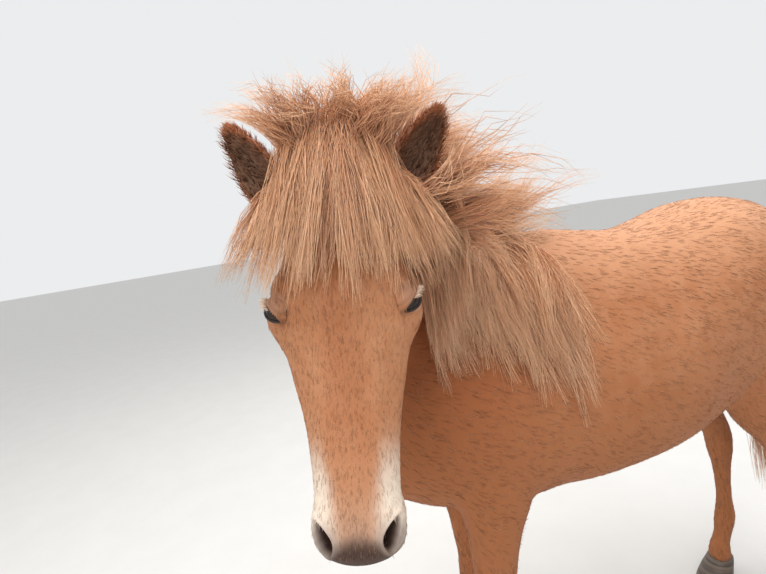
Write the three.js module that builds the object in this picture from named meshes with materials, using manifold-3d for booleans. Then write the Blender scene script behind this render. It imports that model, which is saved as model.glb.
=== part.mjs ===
// A young Icelandic horse, life size, standing square with its head turned to its left.
// Millimetres, +Z up. The horse faces -Y and its left side is +X.
import * as THREE from "three";
import { LoftGeometry } from "three/addons/geometries/LoftGeometry.js";
import { mergeVertices } from "three/addons/utils/BufferGeometryUtils.js";
import Module from "manifold-3d";

const wasm = await Module();
wasm.setup();

// Driving sizes. The height at the withers sets the rest through the tables below.
const HEAD_LENGTH = 530;
const GAP = 0.4; // left between two pieces that touch
const EYE_RADIUS = 20;
const LID = 2.6; // thickness of the lids over the eye
const PARTING = 62; // how far behind the poll's front the mane begins
const HOOF_HEIGHT = 72;
const CORONET = 74; // height of the lower end of each leg

// Pose of the head: where its poll is, then its turns in degrees.
const POLL = new THREE.Vector3(262, -364, 1464);
const HEAD_TURN = { nose_out: 17, left: 69, tilt: 4 };

// Torso rows: y, top, bottom, half width, how much wider the top is than the bottom.
const TORSO_ROWS = [
  [-348, 978, 868, 58, 0],
  [-325, 1035, 812, 100, 0],
  [-268, 1112, 765, 134, -0.06],
  [-180, 1190, 730, 156, -0.14],
  [-80, 1252, 716, 166, -0.2],
  [20, 1288, 708, 174, -0.24],
  [135, 1312, 702, 192, -0.22],
  [250, 1296, 698, 222, -0.14],
  [380, 1280, 704, 238, -0.08],
  [500, 1284, 726, 236, -0.02],
  [600, 1304, 762, 226, 0.02],
  [690, 1322, 812, 218, 0.04],
  [780, 1316, 858, 204, 0.02],
  [862, 1280, 905, 168, 0],
  [915, 1222, 952, 118, 0],
  [938, 1172, 1002, 66, 0],
];

// Neck rows: x, y, z, half width, reach to the crest, reach to the throat, top wider.
const NECK_ROWS = [
  [0, -60, 1040, 112, 228, 235, -0.3],
  [4, -140, 1122, 102, 198, 206, -0.3],
  [20, -208, 1204, 86, 164, 164, -0.28],
  [54, -266, 1280, 74, 140, 132, -0.24],
  [106, -310, 1344, 66, 118, 110, -0.2],
  [164, -338, 1390, 60, 98, 94, -0.15],
];

// Head rows: distance below the poll, reach of the face line, reach of the jaw line, half width, top wider, squareness.
const HEAD_ROWS = [
  [-26, -52, -98, 28, 0, 2],
  [-16, -22, -132, 52, 0, 2.2],
  [6, -2, -160, 68, 0.02, 2.3],
  [46, 10, -186, 82, 0.06, 2.3],
  [90, 17, -206, 91, 0.08, 2.4],
  [134, 20, -216, 96, 0.1, 2.4],
  [178, 19, -216, 97, 0.1, 2.4],
  [218, 15, -204, 94, 0.1, 2.4],
  [258, 10, -180, 86, 0.1, 2.4],
  [300, 6, -152, 77, 0.08, 2.3],
  [345, 3, -124, 68, 0.04, 2.3],
  [392, 1, -104, 62, 0, 2.3],
  [436, 0, -98, 59, -0.02, 2.3],
  [472, -3, -96, 60, -0.02, 2.3],
  [500, -10, -93, 58, 0, 2.3],
  [516, -24, -84, 47, 0, 2.2],
  [526, -42, -72, 27, 0, 2],
];

// Foreleg rows: forward of the leg's line, height, half width, reach forward, reach back.
const FORELEG_ROWS = [
  [-6, 905, 46, 104, 88],
  [0, 830, 52, 96, 92],
  [4, 770, 50, 74, 88],
  [8, 712, 46, 58, 66],
  [10, 640, 40, 49, 51],
  [11, 560, 35, 41, 42],
  [12, 490, 32, 35, 36],
  [12, 445, 35, 38, 35],
  [12, 408, 36, 38, 35],
  [10, 372, 30, 30, 31],
  [9, 335, 24, 23, 28],
  [9, 270, 22, 21, 27],
  [10, 232, 25, 23, 29],
  [12, 202, 29, 28, 34],
  [20, 172, 27, 26, 30],
  [34, 136, 24, 23, 26],
  [46, 104, 29, 29, 30],
  [52, 66, 35, 35, 35],
];

// Hind leg rows, the same columns.
const HINDLEG_ROWS = [
  [70, 1120, 66, 120, 120],
  [96, 1030, 82, 150, 156],
  [104, 940, 84, 166, 150],
  [104, 855, 76, 152, 122],
  [84, 775, 62, 118, 100],
  [48, 702, 50, 86, 76],
  [12, 636, 42, 62, 56],
  [-20, 580, 35, 46, 48],
  [-40, 532, 33, 40, 52],
  [-50, 488, 36, 40, 48],
  [-54, 446, 34, 37, 38],
  [-54, 404, 27, 29, 31],
  [-52, 350, 23, 24, 29],
  [-50, 285, 22, 22, 28],
  [-48, 242, 26, 24, 30],
  [-45, 210, 30, 29, 34],
  [-36, 178, 28, 27, 31],
  [-22, 140, 25, 24, 27],
  [-8, 106, 30, 30, 31],
  [-2, 66, 35, 35, 35],
];

// Each leg: its side, the place of its line, and how far its foot is set forward.
const LEGS = {
  front_left: { rows: FORELEG_ROWS, x: 122, y: -92, step: 46, spread: -14 },
  front_right: { rows: FORELEG_ROWS, x: -122, y: -52, step: -12, spread: -14 },
  hind_left: { rows: HINDLEG_ROWS, x: 132, y: 842, step: 26, spread: -18 },
  hind_right: { rows: HINDLEG_ROWS, x: -132, y: 842, step: -38, spread: -18 },
};

const COAT = 0xb9744a;
const HAIR = 0xd9a073;
const HOOF = 0x4a3a30;
const EYE = 0x1c1310;

const vec = (x, y, z) => new THREE.Vector3(x, y, z);
const mix = THREE.MathUtils.lerp;
const UP = vec(0, 0, 1);
const LEFT = vec(1, 0, 0);

// A repeatable random number from 0 to 1.
function makeRandom(seed) {
  let state = seed;
  return () => {
    state = (state * 1664525 + 1013904223) % 4294967296;
    return state / 4294967296;
  };
}

// A closed geometry as a solid, turned the right way out.
function solidOf(geometry) {
  const bare = new THREE.BufferGeometry();
  bare.setAttribute("position", geometry.getAttribute("position"));
  bare.setIndex(geometry.index);
  const merged = mergeVertices(bare, 1e-3);
  const triVerts = new Uint32Array(merged.index.array);
  const vertProperties = merged.attributes.position.array;
  const made = new wasm.Manifold(new wasm.Mesh({ numProp: 3, vertProperties, triVerts }));
  if (made.volume() > 0) return made;
  for (let i = 0; i < triVerts.length; i += 3) {
    [triVerts[i + 1], triVerts[i + 2]] = [triVerts[i + 2], triVerts[i + 1]];
  }
  return new wasm.Manifold(new wasm.Mesh({ numProp: 3, vertProperties, triVerts }));
}

// A solid as a geometry of single-precision points.
function geometryOf(solid) {
  const { numProp, numVert, vertProperties, triVerts } = solid.getMesh();
  const positions = new Float32Array(numVert * 3);
  for (let i = 0; i < numVert; i++) {
    positions.set(vertProperties.subarray(i * numProp, i * numProp + 3), i * 3);
  }
  const geometry = new THREE.BufferGeometry();
  geometry.setAttribute("position", new THREE.BufferAttribute(positions, 3));
  geometry.setIndex(new THREE.BufferAttribute(triVerts, 1));
  return geometry;
}

// Corners that only touch each other are drawn a little inwards, so that no edge is shared by four faces.
function drawApart(geometry) {
  geometry.computeVertexNormals();
  const { position, normal } = geometry.attributes;
  const groups = new Map();
  for (let i = 0; i < position.count; i++) {
    const key = [position.getX(i), position.getY(i), position.getZ(i)].map((v) => v.toFixed(2)).join();
    groups.set(key, [...(groups.get(key) ?? []), i]);
  }
  for (const touching of groups.values()) {
    if (touching.length < 2) continue;
    for (const i of touching) {
      const p = vec(0, 0, 0).fromBufferAttribute(position, i);
      p.addScaledVector(vec(0, 0, 0).fromBufferAttribute(normal, i), -0.05);
      position.setXYZ(i, p.x, p.y, p.z);
    }
  }
  return geometry;
}

// The largest closed body of a solid, without the small voids inside it.
function largest(solid) {
  const pick = (whole) => whole.decompose().reduce((a, b) => (b.volume() > a.volume() ? b : a));
  let kept = pick(solid);
  for (let again = 0; again < 3; again++) {
    kept = pick(solidOf(drawApart(geometryOf(kept))));
  }
  return kept;
}

function join(...solids) {
  return wasm.Manifold.union(solids.flat());
}

// A bump or hollow: points near its place move by push, fading over size.
function bump(place, size, push) {
  return { place: vec(...place), size: vec(...size), push: vec(...push) };
}

// The same bump on both sides of the body.
function pair(place, size, push) {
  const other = ([x, y, z]) => [-x, y, z];
  return [bump(place, size, push), bump(other(place), size, other(push))];
}

function sculpted(point, bumps) {
  const moved = point.clone();
  for (const b of bumps) {
    const away = point.clone().sub(b.place).divide(b.size).lengthSq();
    moved.addScaledVector(b.push, Math.exp(-away));
  }
  return moved;
}

// A body drawn along a smooth line through stations, each with its own section.
class Tube {
  constructor(stations, { sides, steps, bumps = [], matrix = new THREE.Matrix4() }) {
    this.line = new THREE.CatmullRomCurve3(stations.map((s) => s.at), false, "centripetal");
    const curveOf = (pick) => new THREE.CatmullRomCurve3(stations.map(pick), false, "catmullrom", 0.5);
    this.sizes = curveOf((s) => vec(s.side, s.up, s.down));
    this.shapes = curveOf((s) => vec(s.wider ?? 0, s.square ?? 2, 0));
    this.tops = curveOf((s) => s.top ?? UP);
    this.rings = Math.round((stations.length - 1) * steps);
    this.sides = sides;
    this.bumps = bumps;
    this.matrix = matrix;
    this.inverse = matrix.clone().invert();
    this.probes = Array.from({ length: 61 }, (_, i) => this.station(i / 60));
  }

  // The section's centre, directions and sizes at t, from 0 to 1 along the line.
  station(t) {
    const at = this.line.getPoint(t);
    const along = this.line.getTangent(t);
    const top = this.tops.getPoint(t);
    top.addScaledVector(along, -top.dot(along)).normalize();
    const side = along.clone().cross(top).normalize();
    return { at, along, top, side, size: this.sizes.getPoint(t), shape: this.shapes.getPoint(t) };
  }

  // How far the section reaches at an angle from its side direction.
  offset({ size, shape }, angle, grow) {
    const c = Math.cos(angle);
    const s = Math.sin(angle);
    const power = 2 / shape.y;
    const across = Math.sign(c) * Math.abs(c) ** power * (size.x + grow) * (1 + shape.x * s);
    const reach = (s > 0 ? size.y : size.z) + grow;
    return [across, Math.sign(s) * Math.abs(s) ** power * reach];
  }

  point(t, angle, grow = 0) {
    const s = this.station(t);
    const [across, upward] = this.offset(s, angle, grow);
    const p = s.at.clone().addScaledVector(s.side, across).addScaledVector(s.top, upward);
    return sculpted(p, this.bumps).applyMatrix4(this.matrix);
  }

  solid(grow = 0) {
    const sections = [];
    for (let i = 0; i <= this.rings; i++) {
      const t = i / this.rings;
      const beyond = i === 0 ? -grow : i === this.rings ? grow : 0;
      const shift = this.station(t).along.multiplyScalar(beyond).transformDirection(this.matrix);
      const ring = [];
      for (let j = 0; j < this.sides; j++) {
        const p = this.point(t, (-j / this.sides) * 2 * Math.PI, grow);
        ring.push(beyond ? p.addScaledVector(shift, Math.abs(beyond)) : p);
      }
      sections.push(ring);
    }
    return solidOf(new LoftGeometry(sections, { closed: true, capStart: true, capEnd: true }));
  }

  // How far a point is outside the body, and which way is out.
  gap(world) {
    const p = world.clone().applyMatrix4(this.inverse);
    let best = null;
    const reach = this.line.getLength() / 60;
    for (const s of this.probes) {
      const off = p.clone().sub(s.at);
      const ahead = off.dot(s.along);
      if (Math.abs(ahead) > reach) continue;
      off.addScaledVector(s.along, -ahead);
      const angle = Math.atan2(off.dot(s.top) / s.size.y, off.dot(s.side) / s.size.x);
      const [across, upward] = this.offset(s, angle, 0);
      const distance = off.length() - Math.hypot(across, upward);
      if (!best || distance < best.distance) best = { distance, out: off.normalize() };
    }
    if (!best) return { distance: Infinity, out: UP.clone() };
    best.out.transformDirection(this.matrix);
    return best;
  }
}

// A flat tapering lock of hair along a path, with its flat side facing the normals.
function lockSolid({ path, normals, width, thick }, grow = 0) {
  const last = path.length - 1;
  const sections = path.map((p, i) => {
    const u = i / last;
    const along = path[Math.min(i + 1, last)].clone().sub(path[Math.max(i - 1, 0)]).normalize();
    const side = along.clone().cross(normals[i]).normalize();
    const out = side.clone().cross(along);
    const ahead = path[Math.min(i + 1, last)].clone().sub(p);
    const back = p.clone().sub(path[Math.max(i - 1, 0)]);
    const bend = i > 0 && i < last ? ahead.angleTo(back) : 0;
    const room = (0.4 * Math.min(ahead.length() || 1e9, back.length() || 1e9)) / Math.max(bend, 0.01);
    const half = Math.max(1.2, Math.min(room, (width / 2) * Math.min(1, 0.6 + 2 * u) * (1 - u ** 2.4))) + grow;
    const deep = Math.max(0.5, (thick / 2) * (1 - u ** 1.6)) + grow;
    const at = p.clone().addScaledVector(along, i === 0 ? -grow : i === last ? grow : 0);
    const low = at.clone().addScaledVector(out, -deep);
    return [
      low.clone().addScaledVector(side, half),
      low.clone().addScaledVector(side, -half),
      at.clone().addScaledVector(out, deep + grow),
    ];
  });
  return solidOf(new LoftGeometry(sections, { closed: true, capStart: true, capEnd: true }));
}

// A lock from its root, over a middle point, to its tip, kept outside the bodies.
function makeLock(root, over, tip, { width, thick, clear, rings = 5, bodies, wave = 0 }) {
  const inner = root.clone().lerp(over, -0.12);
  const curve = new THREE.CubicBezierCurve3(inner, over, over.clone().lerp(tip, 0.55), tip);
  const path = curve.getPoints(rings);
  const normals = [];
  path.forEach((p, i) => {
    const u = i / rings;
    if (i > 1) p.addScaledVector(LEFT, wave * Math.sin(u * 9) * u);
    let out = UP.clone();
    for (let pass = 0; pass < 2; pass++) {
      let nearest = Infinity;
      for (const body of bodies) {
        const near = body.gap(p);
        if (near.distance < nearest) [nearest, out] = [near.distance, near.out];
        const short = mix(4, clear, u) - near.distance;
        if (i > 1 && short > 0) p.addScaledVector(near.out, short);
      }
    }
    normals.push(out);
  });
  // The flat side turns little by little along the lock and never over.
  let before = null;
  const flat = path.map((p, i) => {
    const along = path[Math.min(i + 1, rings)].clone().sub(path[Math.max(i - 1, 0)]).normalize();
    const normal = before ? before.clone().multiplyScalar(1.2) : vec(0, 0, 0);
    normal.addScaledVector(normals[i], before && before.dot(normals[i]) < 0 ? -1 : 1);
    normal.addScaledVector(along, -normal.dot(along));
    if (normal.length() < 0.2) normal.copy(vec(0.5, -0.6, 0.3).cross(along));
    before = normal.normalize();
    return before.clone();
  });
  return { path, normals: flat, width, thick };
}

// Torso
const torsoBumps = [
  ...pair([150, -150, 930], [70, 120, 190], [16, 0, 0]), // shoulder and upper arm
  ...pair([140, -60, 790], [60, 90, 80], [14, 0, -8]), // elbow
  ...pair([75, -335, 905], [60, 60, 70], [8, -16, 0]), // breast
  ...pair([190, 740, 1060], [80, 150, 170], [8, 0, 0]), // haunch
  ...pair([175, 640, 1270], [50, 60, 50], [14, 0, 6]), // point of the hip
  ...pair([215, 520, 900], [70, 90, 120], [-14, 0, 0]), // hollow of the flank
  ...pair([150, 60, 1130], [50, 90, 100], [-14, 0, 0]), // hollow behind the shoulder blade
  bump([0, -345, 940], [22, 60, 90], [0, 12, 0]), // groove of the breast
];
const torso = new Tube(
  TORSO_ROWS.map(([y, top, bottom, side, wider]) => ({
    at: vec(0, y, (top + bottom) / 2),
    side,
    up: (top - bottom) / 2,
    down: (top - bottom) / 2,
    wider,
    square: 2.1,
  })),
  { sides: 26, steps: 1.5, bumps: torsoBumps },
);

// Head, drawn hanging straight down from its poll and facing -Y, then turned
const rad = THREE.MathUtils.degToRad;
const headMatrix = new THREE.Matrix4()
  .makeTranslation(POLL)
  .multiply(new THREE.Matrix4().makeRotationZ(rad(HEAD_TURN.left)))
  .multiply(new THREE.Matrix4().makeRotationY(rad(HEAD_TURN.tilt)))
  .multiply(new THREE.Matrix4().makeRotationX(rad(-HEAD_TURN.nose_out)));
const onHead = (x, y, z) => vec(x, y, z).applyMatrix4(headMatrix);

const EYE_AT = [87, 14, -187];
const headBumps = [
  ...pair([96, 4, -168], [34, 44, 36], [27, -4, 0]), // arch over the eye
  ...pair([94, 20, -214], [30, 42, 30], [21, 0, 0]), // under the eye
  ...pair([74, 20, -108], [16, 26, 24], [-9, 0, 0]), // hollow above the eye
  ...pair([78, 112, -150], [30, 60, 60], [-6, 0, 0]),
  ...pair([72, 40, -262], [16, 14, 60], [5, 0, 0]), // facial crest
  ...pair([56, 10, -330], [16, 26, 60], [-5, 0, 0]), // hollow of the cheek
  ...pair([44, 22, -478], [20, 26, 28], [10, -2, 0]), // wing of the nostril
  ...pair([26, -4, -470], [18, 16, 26], [2, -5, 0]), // inner rim of the nostril
  bump([0, -2, -478], [12, 16, 30], [0, 5, 0]), // between the nostrils
  bump([0, 92, -492], [34, 18, 16], [0, 12, 0]), // chin
  bump([0, 98, -440], [26, 16, 26], [0, -10, 0]), // groove of the chin
  bump([0, 190, -150], [30, 50, 90], [0, -26, 0]), // between the jaws
];
const head = new Tube(
  HEAD_ROWS.map(([below, face, jaw, side, wider, square]) => ({
    at: vec(0, -(face + jaw) / 2, (-below * HEAD_LENGTH) / 530),
    side,
    up: (face - jaw) / 2,
    down: (face - jaw) / 2,
    wider,
    square,
    top: vec(0, -1, 0),
  })),
  { sides: 24, steps: 1.5, bumps: headBumps, matrix: headMatrix },
);

// Neck, from inside the torso to inside the back of the head
const crestward = [vec(0, 0.7, 0.7), vec(0, 0.72, 0.7), vec(-0.05, 0.7, 0.65), vec(-0.2, 0.75, 0.6)];
const lastCrest = vec(0, 0.62, 0.78).transformDirection(headMatrix);
const neck = new Tube(
  [
    ...NECK_ROWS.map(([x, y, z, side, up, down, wider], i) => ({
      at: vec(x, y, z),
      side,
      up,
      down,
      wider,
      square: 2.1,
      top: crestward[i] ?? vec(-0.4, 0.7, 0.6),
    })),
    { at: onHead(0, 84, -78), side: 50, up: 66, down: 76, wider: 0, square: 2.1, top: lastCrest },
  ],
  { sides: 20, steps: 1.5 },
);

// Legs and hooves
function legTube({ rows, x, y, step, spread }) {
  const high = rows[0][1];
  return new Tube(
    rows.map(([forward, height, side, front, back]) => {
      const low = 1 - height / high;
      const at = vec(x + Math.sign(x) * spread * low, y - forward - step * low, height);
      return { at, side, up: front, down: back, top: vec(0, -1, 0), square: 2.2 };
    }),
    { sides: 12, steps: 1 },
  );
}

function hoofSolid(leg) {
  const foot = leg.line.getPoint(1);
  const half = 36; // half width of the coronet
  const rings = [
    [HOOF_HEIGHT, half, 38, 38, 0],
    [HOOF_HEIGHT * 0.86, half + 3, 42, 40, 4],
    [HOOF_HEIGHT * 0.3, half + 12, 58, 44, 22],
    [0, half + 16, 62, 46, 30],
  ];
  const sections = rings.map(([height, side, front, back, forward]) =>
    Array.from({ length: 16 }, (_, j) => {
      const angle = (j / 16) * 2 * Math.PI;
      const s = Math.sin(angle);
      const reach = s > 0 ? front : back;
      return vec(foot.x + Math.cos(angle) * side, foot.y - forward - s * reach + 4, height);
    }),
  );
  return solidOf(new LoftGeometry(sections, { closed: true, capStart: true, capEnd: true }));
}

function box(low, high, matrix = new THREE.Matrix4()) {
  const size = high.clone().sub(low);
  const geometry = new THREE.BoxGeometry(size.x, size.y, size.z);
  geometry.translate(...low.clone().add(high).multiplyScalar(0.5).toArray());
  geometry.applyMatrix4(matrix);
  return solidOf(geometry);
}

// Ears: a leaf-shaped cup standing up and out from beside the poll
function earSolid(sign, grow = 0) {
  const rows = [
    [82, 52, -40, 27, 24, 24],
    [95, 50, -15, 32, 27, 27],
    [110, 48, 11, 35, 26, 25],
    [126, 46, 39, 33, 23, 23],
    [142, 44, 67, 26, 18, 18],
    [155, 43, 91, 15, 10, 10],
    [162, 43, 105, 4.5, 3.8, 3.8],
  ];
  const top = vec(0.35 * sign, -0.9, -0.1).transformDirection(headMatrix);
  const outer = new Tube(
    rows.map(([x, y, z, side, up, down]) => ({ at: onHead(x * sign, y, z), side, up, down, top })),
    { sides: 10, steps: 1 },
  ).solid(grow);
  if (grow) return outer;
  const hollow = new Tube(
    rows.slice(1, 6).map(([x, y, z, side, up, down]) => ({
      at: onHead((x + 5) * sign, y - up * 0.75, z),
      side: side * 0.66,
      up: up * 0.9,
      down: down * 0.85,
      top,
    })),
    { sides: 8, steps: 1 },
  ).solid();
  return outer.subtract(hollow);
}

// The dense root of the forelock, a dome over the poll
function forelockRoot(grow = 0) {
  const made = new THREE.SphereGeometry(1, 14, 9);
  made.scale(103 + grow, 72 + grow, 98 + grow);
  made.translate(0, 28, -6);
  made.applyMatrix4(headMatrix);
  return solidOf(made);
}

// The dense root of the mane, a thick ridge along the crest
function maneRoot() {
  const rows = [0.24, 0.4, 0.56, 0.72, 0.88, 1];
  return new Tube(
    rows.map((t, i) => {
      const s = neck.station(t);
      const at = neck.point(t, Math.PI / 2).addScaledVector(s.top, 30).addScaledVector(LEFT, 16);
      const half = i === 0 ? 24 : 58;
      return { at, side: half, up: half * 1.25, down: half * 1.4, top: s.top };
    }),
    { sides: 10, steps: 1 },
  ).solid();
}

// Forelock: rooted between the ears, rising, then falling over the forehead to both sides
function forelockLocks() {
  const random = makeRandom(11);
  const locks = [];
  const rows = [
    { count: 6, rise: 62, clear: 8, reach: 0.9 },
    { count: 8, rise: 92, clear: 26, reach: 1 },
    { count: 8, rise: 128, clear: 46, reach: 1.06 },
  ];
  for (const { count, rise, clear, reach } of rows) {
    for (let i = 0; i < count; i++) {
      const turn = mix(-1.75, 1.75, (i + 0.2 + 0.6 * random()) / count);
      const far = reach * mix(0.86, 1.06, random());
      const tipX = 142 * Math.sin(turn) * far + mix(-8, 8, random());
      const tipZ = mix(-168, -104, Math.abs(turn) / 1.75) * far + mix(-12, 8, random());
      const root = onHead(34 * Math.sin(turn), mix(44, 14, Math.cos(turn)), -6);
      const over = onHead(tipX * 0.72, mix(30, -34, Math.cos(turn)), rise + mix(-6, 10, random()));
      const tip = onHead(tipX, mix(30, -30, Math.max(0, Math.cos(turn))), tipZ);
      locks.push(makeLock(root, over, tip, {
        width: mix(68, 92, random()),
        thick: mix(12, 16, random()),
        clear,
        bodies: [head],
        wave: mix(-5, 5, random()),
      }));
    }
  }
  // Hair standing up and back from the poll
  for (let i = 0; i < 10; i++) {
    const turn = mix(-1.5, 1.5, (i + random()) / 10);
    const high = mix(140, 185, random());
    const root = onHead(36 * Math.sin(turn), mix(34, 56, random()), -8);
    const over = onHead(70 * Math.sin(turn), mix(20, 60, random()), high * 0.6);
    const tip = onHead(146 * Math.sin(turn) + mix(-14, 14, random()), mix(0, 60, random()), high);
    locks.push(makeLock(root, over, tip, { width: 46, thick: 14, clear: 8, rings: 4, bodies: [head] }));
  }
  return locks;
}

// Mane: rooted along the crest, rising, then falling on the left side of the neck
function maneLocks() {
  const random = makeRandom(29);
  const locks = [];
  const crest = (t, lean) => neck.point(t, Math.PI / 2 + lean, -6);
  const layers = [
    { count: 9, rise: 50, clear: 12, drop: 315, out: 84, sweep: 74 },
    { count: 9, rise: 100, clear: 34, drop: 270, out: 112, sweep: 106 },
    { count: 8, rise: 150, clear: 58, drop: 170, out: 134, sweep: 150 },
  ];
  for (const { count, rise, clear, drop, out, sweep } of layers) {
    for (let i = 0; i < count; i++) {
      const t = mix(0.14, 0.86, (i + 0.2 + 0.6 * random()) / count);
      const root = crest(t, 0.1);
      const s = neck.station(t);
      const leftward = s.side.clone().multiplyScalar(s.side.x < 0 ? -1 : 1);
      const over = root.clone().addScaledVector(s.top, rise * mix(0.8, 1.25, random()));
      over.addScaledVector(leftward, out * 0.5);
      const tip = root.clone().addScaledVector(leftward, out * mix(0.9, 1.25, random()));
      tip.z -= drop * mix(0.75, 1.15, random());
      tip.y += sweep * mix(0.7, 1.2, random());
      locks.push(makeLock(root, over, tip, {
        width: mix(62, 84, random()),
        thick: mix(12, 16, random()),
        clear,
        bodies: [neck, torso],
        wave: mix(-7, 7, random()),
      }));
    }
  }
  // Tufts standing up and back along the crest
  for (let i = 0; i < 16; i++) {
    const t = mix(0.16, 0.99, ((i + random()) / 16) ** 0.75);
    const root = crest(t, mix(-0.25, 0.15, random()));
    const s = neck.station(t);
    const leftward = s.side.clone().multiplyScalar(s.side.x < 0 ? -1 : 1);
    const high = mix(215, 310, random());
    const over = root.clone().addScaledVector(s.top, high * 0.6);
    const tip = root.clone().addScaledVector(s.top, high).addScaledVector(leftward, mix(-50, 90, random()));
    tip.z -= mix(0, 50, random());
    locks.push(makeLock(root, over, tip, { width: 60, thick: 16, clear: 8, rings: 4, bodies: [neck, torso] }));
  }
  return locks;
}

// Tail: the dock, and locks hanging from it to below the hocks
const dock = new Tube(
  [
    [900, 1190, 40],
    [950, 1176, 46],
    [990, 1130, 52],
    [1006, 1050, 52],
    [1010, 960, 46],
    [1008, 880, 30],
  ].map(([y, z, half]) => ({ at: vec(0, y, z), side: half, up: half, down: half, top: vec(0, 1, 0.2) })),
  { sides: 10, steps: 1 },
);

function tailLocks() {
  const random = makeRandom(47);
  const locks = [];
  for (let i = 0; i < 12; i++) {
    const t = mix(0.3, 0.98, (i + random()) / 12);
    const turn = mix(-2.6, 2.6, (i * 0.618) % 1);
    const sideways = Math.sin(turn);
    const backward = Math.cos(turn);
    const root = dock.station(t).at.clone().add(vec(sideways * 8, backward * 8, 0));
    const over = root.clone().add(vec(sideways * 62, backward * 44 + 14, -40));
    const low = mix(330, 520, random());
    const tip = vec(sideways * mix(20, 74, random()), 1004 + backward * mix(10, 52, random()), low);
    locks.push(makeLock(root, over, tip, {
      width: mix(56, 76, random()),
      thick: mix(13, 18, random()),
      clear: 4,
      rings: 6,
      bodies: [dock],
      wave: mix(-8, 8, random()),
    }));
  }
  return locks;
}

const material = (color, roughness) => new THREE.MeshStandardMaterial({ color, roughness, metalness: 0 });
const coat = material(COAT, 0.85);
const hair = material(HAIR, 0.9);
const horn = material(HOOF, 0.6);
const glass = material(EYE, 0.1);

const horse = new THREE.Group();

// Adds a solid to the horse as a named mesh.
function add(name, solid, look) {
  const made = new THREE.Mesh(geometryOf(solid), look);
  made.name = name;
  horse.add(made);
}

const torsoSolid = torso.solid();
const torsoKeep = torso.solid(GAP);
add("torso", torsoSolid, coat);

for (const [name, leg] of Object.entries(LEGS)) {
  const tube = legTube(leg);
  const floorward = box(vec(-400, -800, -10), vec(400, 1400, CORONET - 2 + GAP));
  add("leg_" + name, largest(tube.solid().subtract(torsoKeep).subtract(floorward)), coat);
  add("hoof_" + name, hoofSolid(tube), horn);
}

const plain = (locks) => locks.map((lock) => lockSolid(lock));

// A ball for an eye and its socket.
function ball(radius, at) {
  const made = new THREE.SphereGeometry(radius, 12, 8);
  made.translate(...at.toArray());
  return solidOf(made);
}

// The opening between the lids, long and slanting down towards the nose
function lidOpening(sign) {
  const made = new THREE.SphereGeometry(1, 12, 8);
  made.scale(20, 20, 8);
  made.rotateX(rad(38));
  made.rotateY(rad(-20 * sign));
  made.rotateZ(rad(-14 * sign));
  made.translate(101 * sign, 1, -190);
  made.applyMatrix4(headMatrix);
  return solidOf(made);
}

// A nostril, a tall hollow that opens forwards and to the side
function nostril(sign) {
  const made = new THREE.SphereGeometry(1, 12, 8);
  made.scale(8.5, 17, 20);
  made.rotateX(rad(8));
  made.rotateZ(rad(39 * sign));
  made.translate(46 * sign, 13, -487);
  made.applyMatrix4(headMatrix);
  return solidOf(made);
}

// A band round the muzzle on both sides of the line where the lips meet
function lipBand(half, length) {
  const tilted = new THREE.Matrix4().makeTranslation(0, 60, -490).multiply(new THREE.Matrix4().makeRotationX(rad(-4)));
  return box(vec(-90, -half, -80), vec(90, half, length), headMatrix.clone().multiply(tilted));
}

const ears = { left: 1, right: -1 };
const earKeep = join(Object.values(ears).map((sign) => earSolid(sign, GAP)));
const skull = head.solid(GAP);
const nape = neck.solid(GAP);

// The hair in front of this plane is the forelock, and behind it the mane.
const behind = box(vec(-500, PARTING - GAP, -800), vec(500, 900, 500), headMatrix);
const before = box(vec(-500, -900, -800), vec(500, PARTING, 500), headMatrix);

const forelock = join(forelockRoot(), plain(forelockLocks())).subtract(join(behind, nape));
const lips = lipBand(8, 44).intersect(head.solid(2.4));
const mouth = lipBand(1.6, 36).subtract(head.solid(-6));
let headBody = join(head.solid(), lips, forelock).subtract(earKeep).subtract(mouth);
for (const [side, sign] of Object.entries(ears)) {
  const at = onHead(EYE_AT[0] * sign, EYE_AT[1], EYE_AT[2]);
  headBody = join(headBody, ball(EYE_RADIUS + LID, at));
  headBody = headBody.subtract(ball(EYE_RADIUS + GAP, at)).subtract(lidOpening(sign)).subtract(nostril(sign));
  add("eye_" + side, ball(EYE_RADIUS, at), glass);
}
headBody = largest(headBody);
add("head", headBody, coat);

const mane = join(maneRoot(), plain(maneLocks())).subtract(before);
const brow = box(vec(-500, -900, -60), vec(500, PARTING, 500), headMatrix);
const neckBody = largest(join(neck.solid(), mane).subtract(join(torsoKeep, skull, earKeep, brow)));
add("neck", neckBody, coat);

for (const [side, sign] of Object.entries(ears)) {
  const free = earSolid(sign).subtract(skull).subtract(nape);
  add("ear_" + side, largest(free.subtract(headBody).subtract(neckBody)), coat);
}

const tailBody = join(dock.solid(), plain(tailLocks()));
add("tail", largest(tailBody.subtract(torsoKeep)), hair);

// The origin is on the floor under the middle of the horse.
const bounds = new THREE.Box3().setFromObject(horse);
const middle = bounds.getCenter(vec(0, 0, 0));
horse.position.set(-middle.x, -middle.y, -bounds.min.z);

export default horse;
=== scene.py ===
import math

import bmesh
import bpy
import numpy as np
from bpy.props import FloatProperty, FloatVectorProperty, IntProperty, PointerProperty
from mathutils import Matrix, Vector
from mathutils.bvhtree import BVHTree


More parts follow.
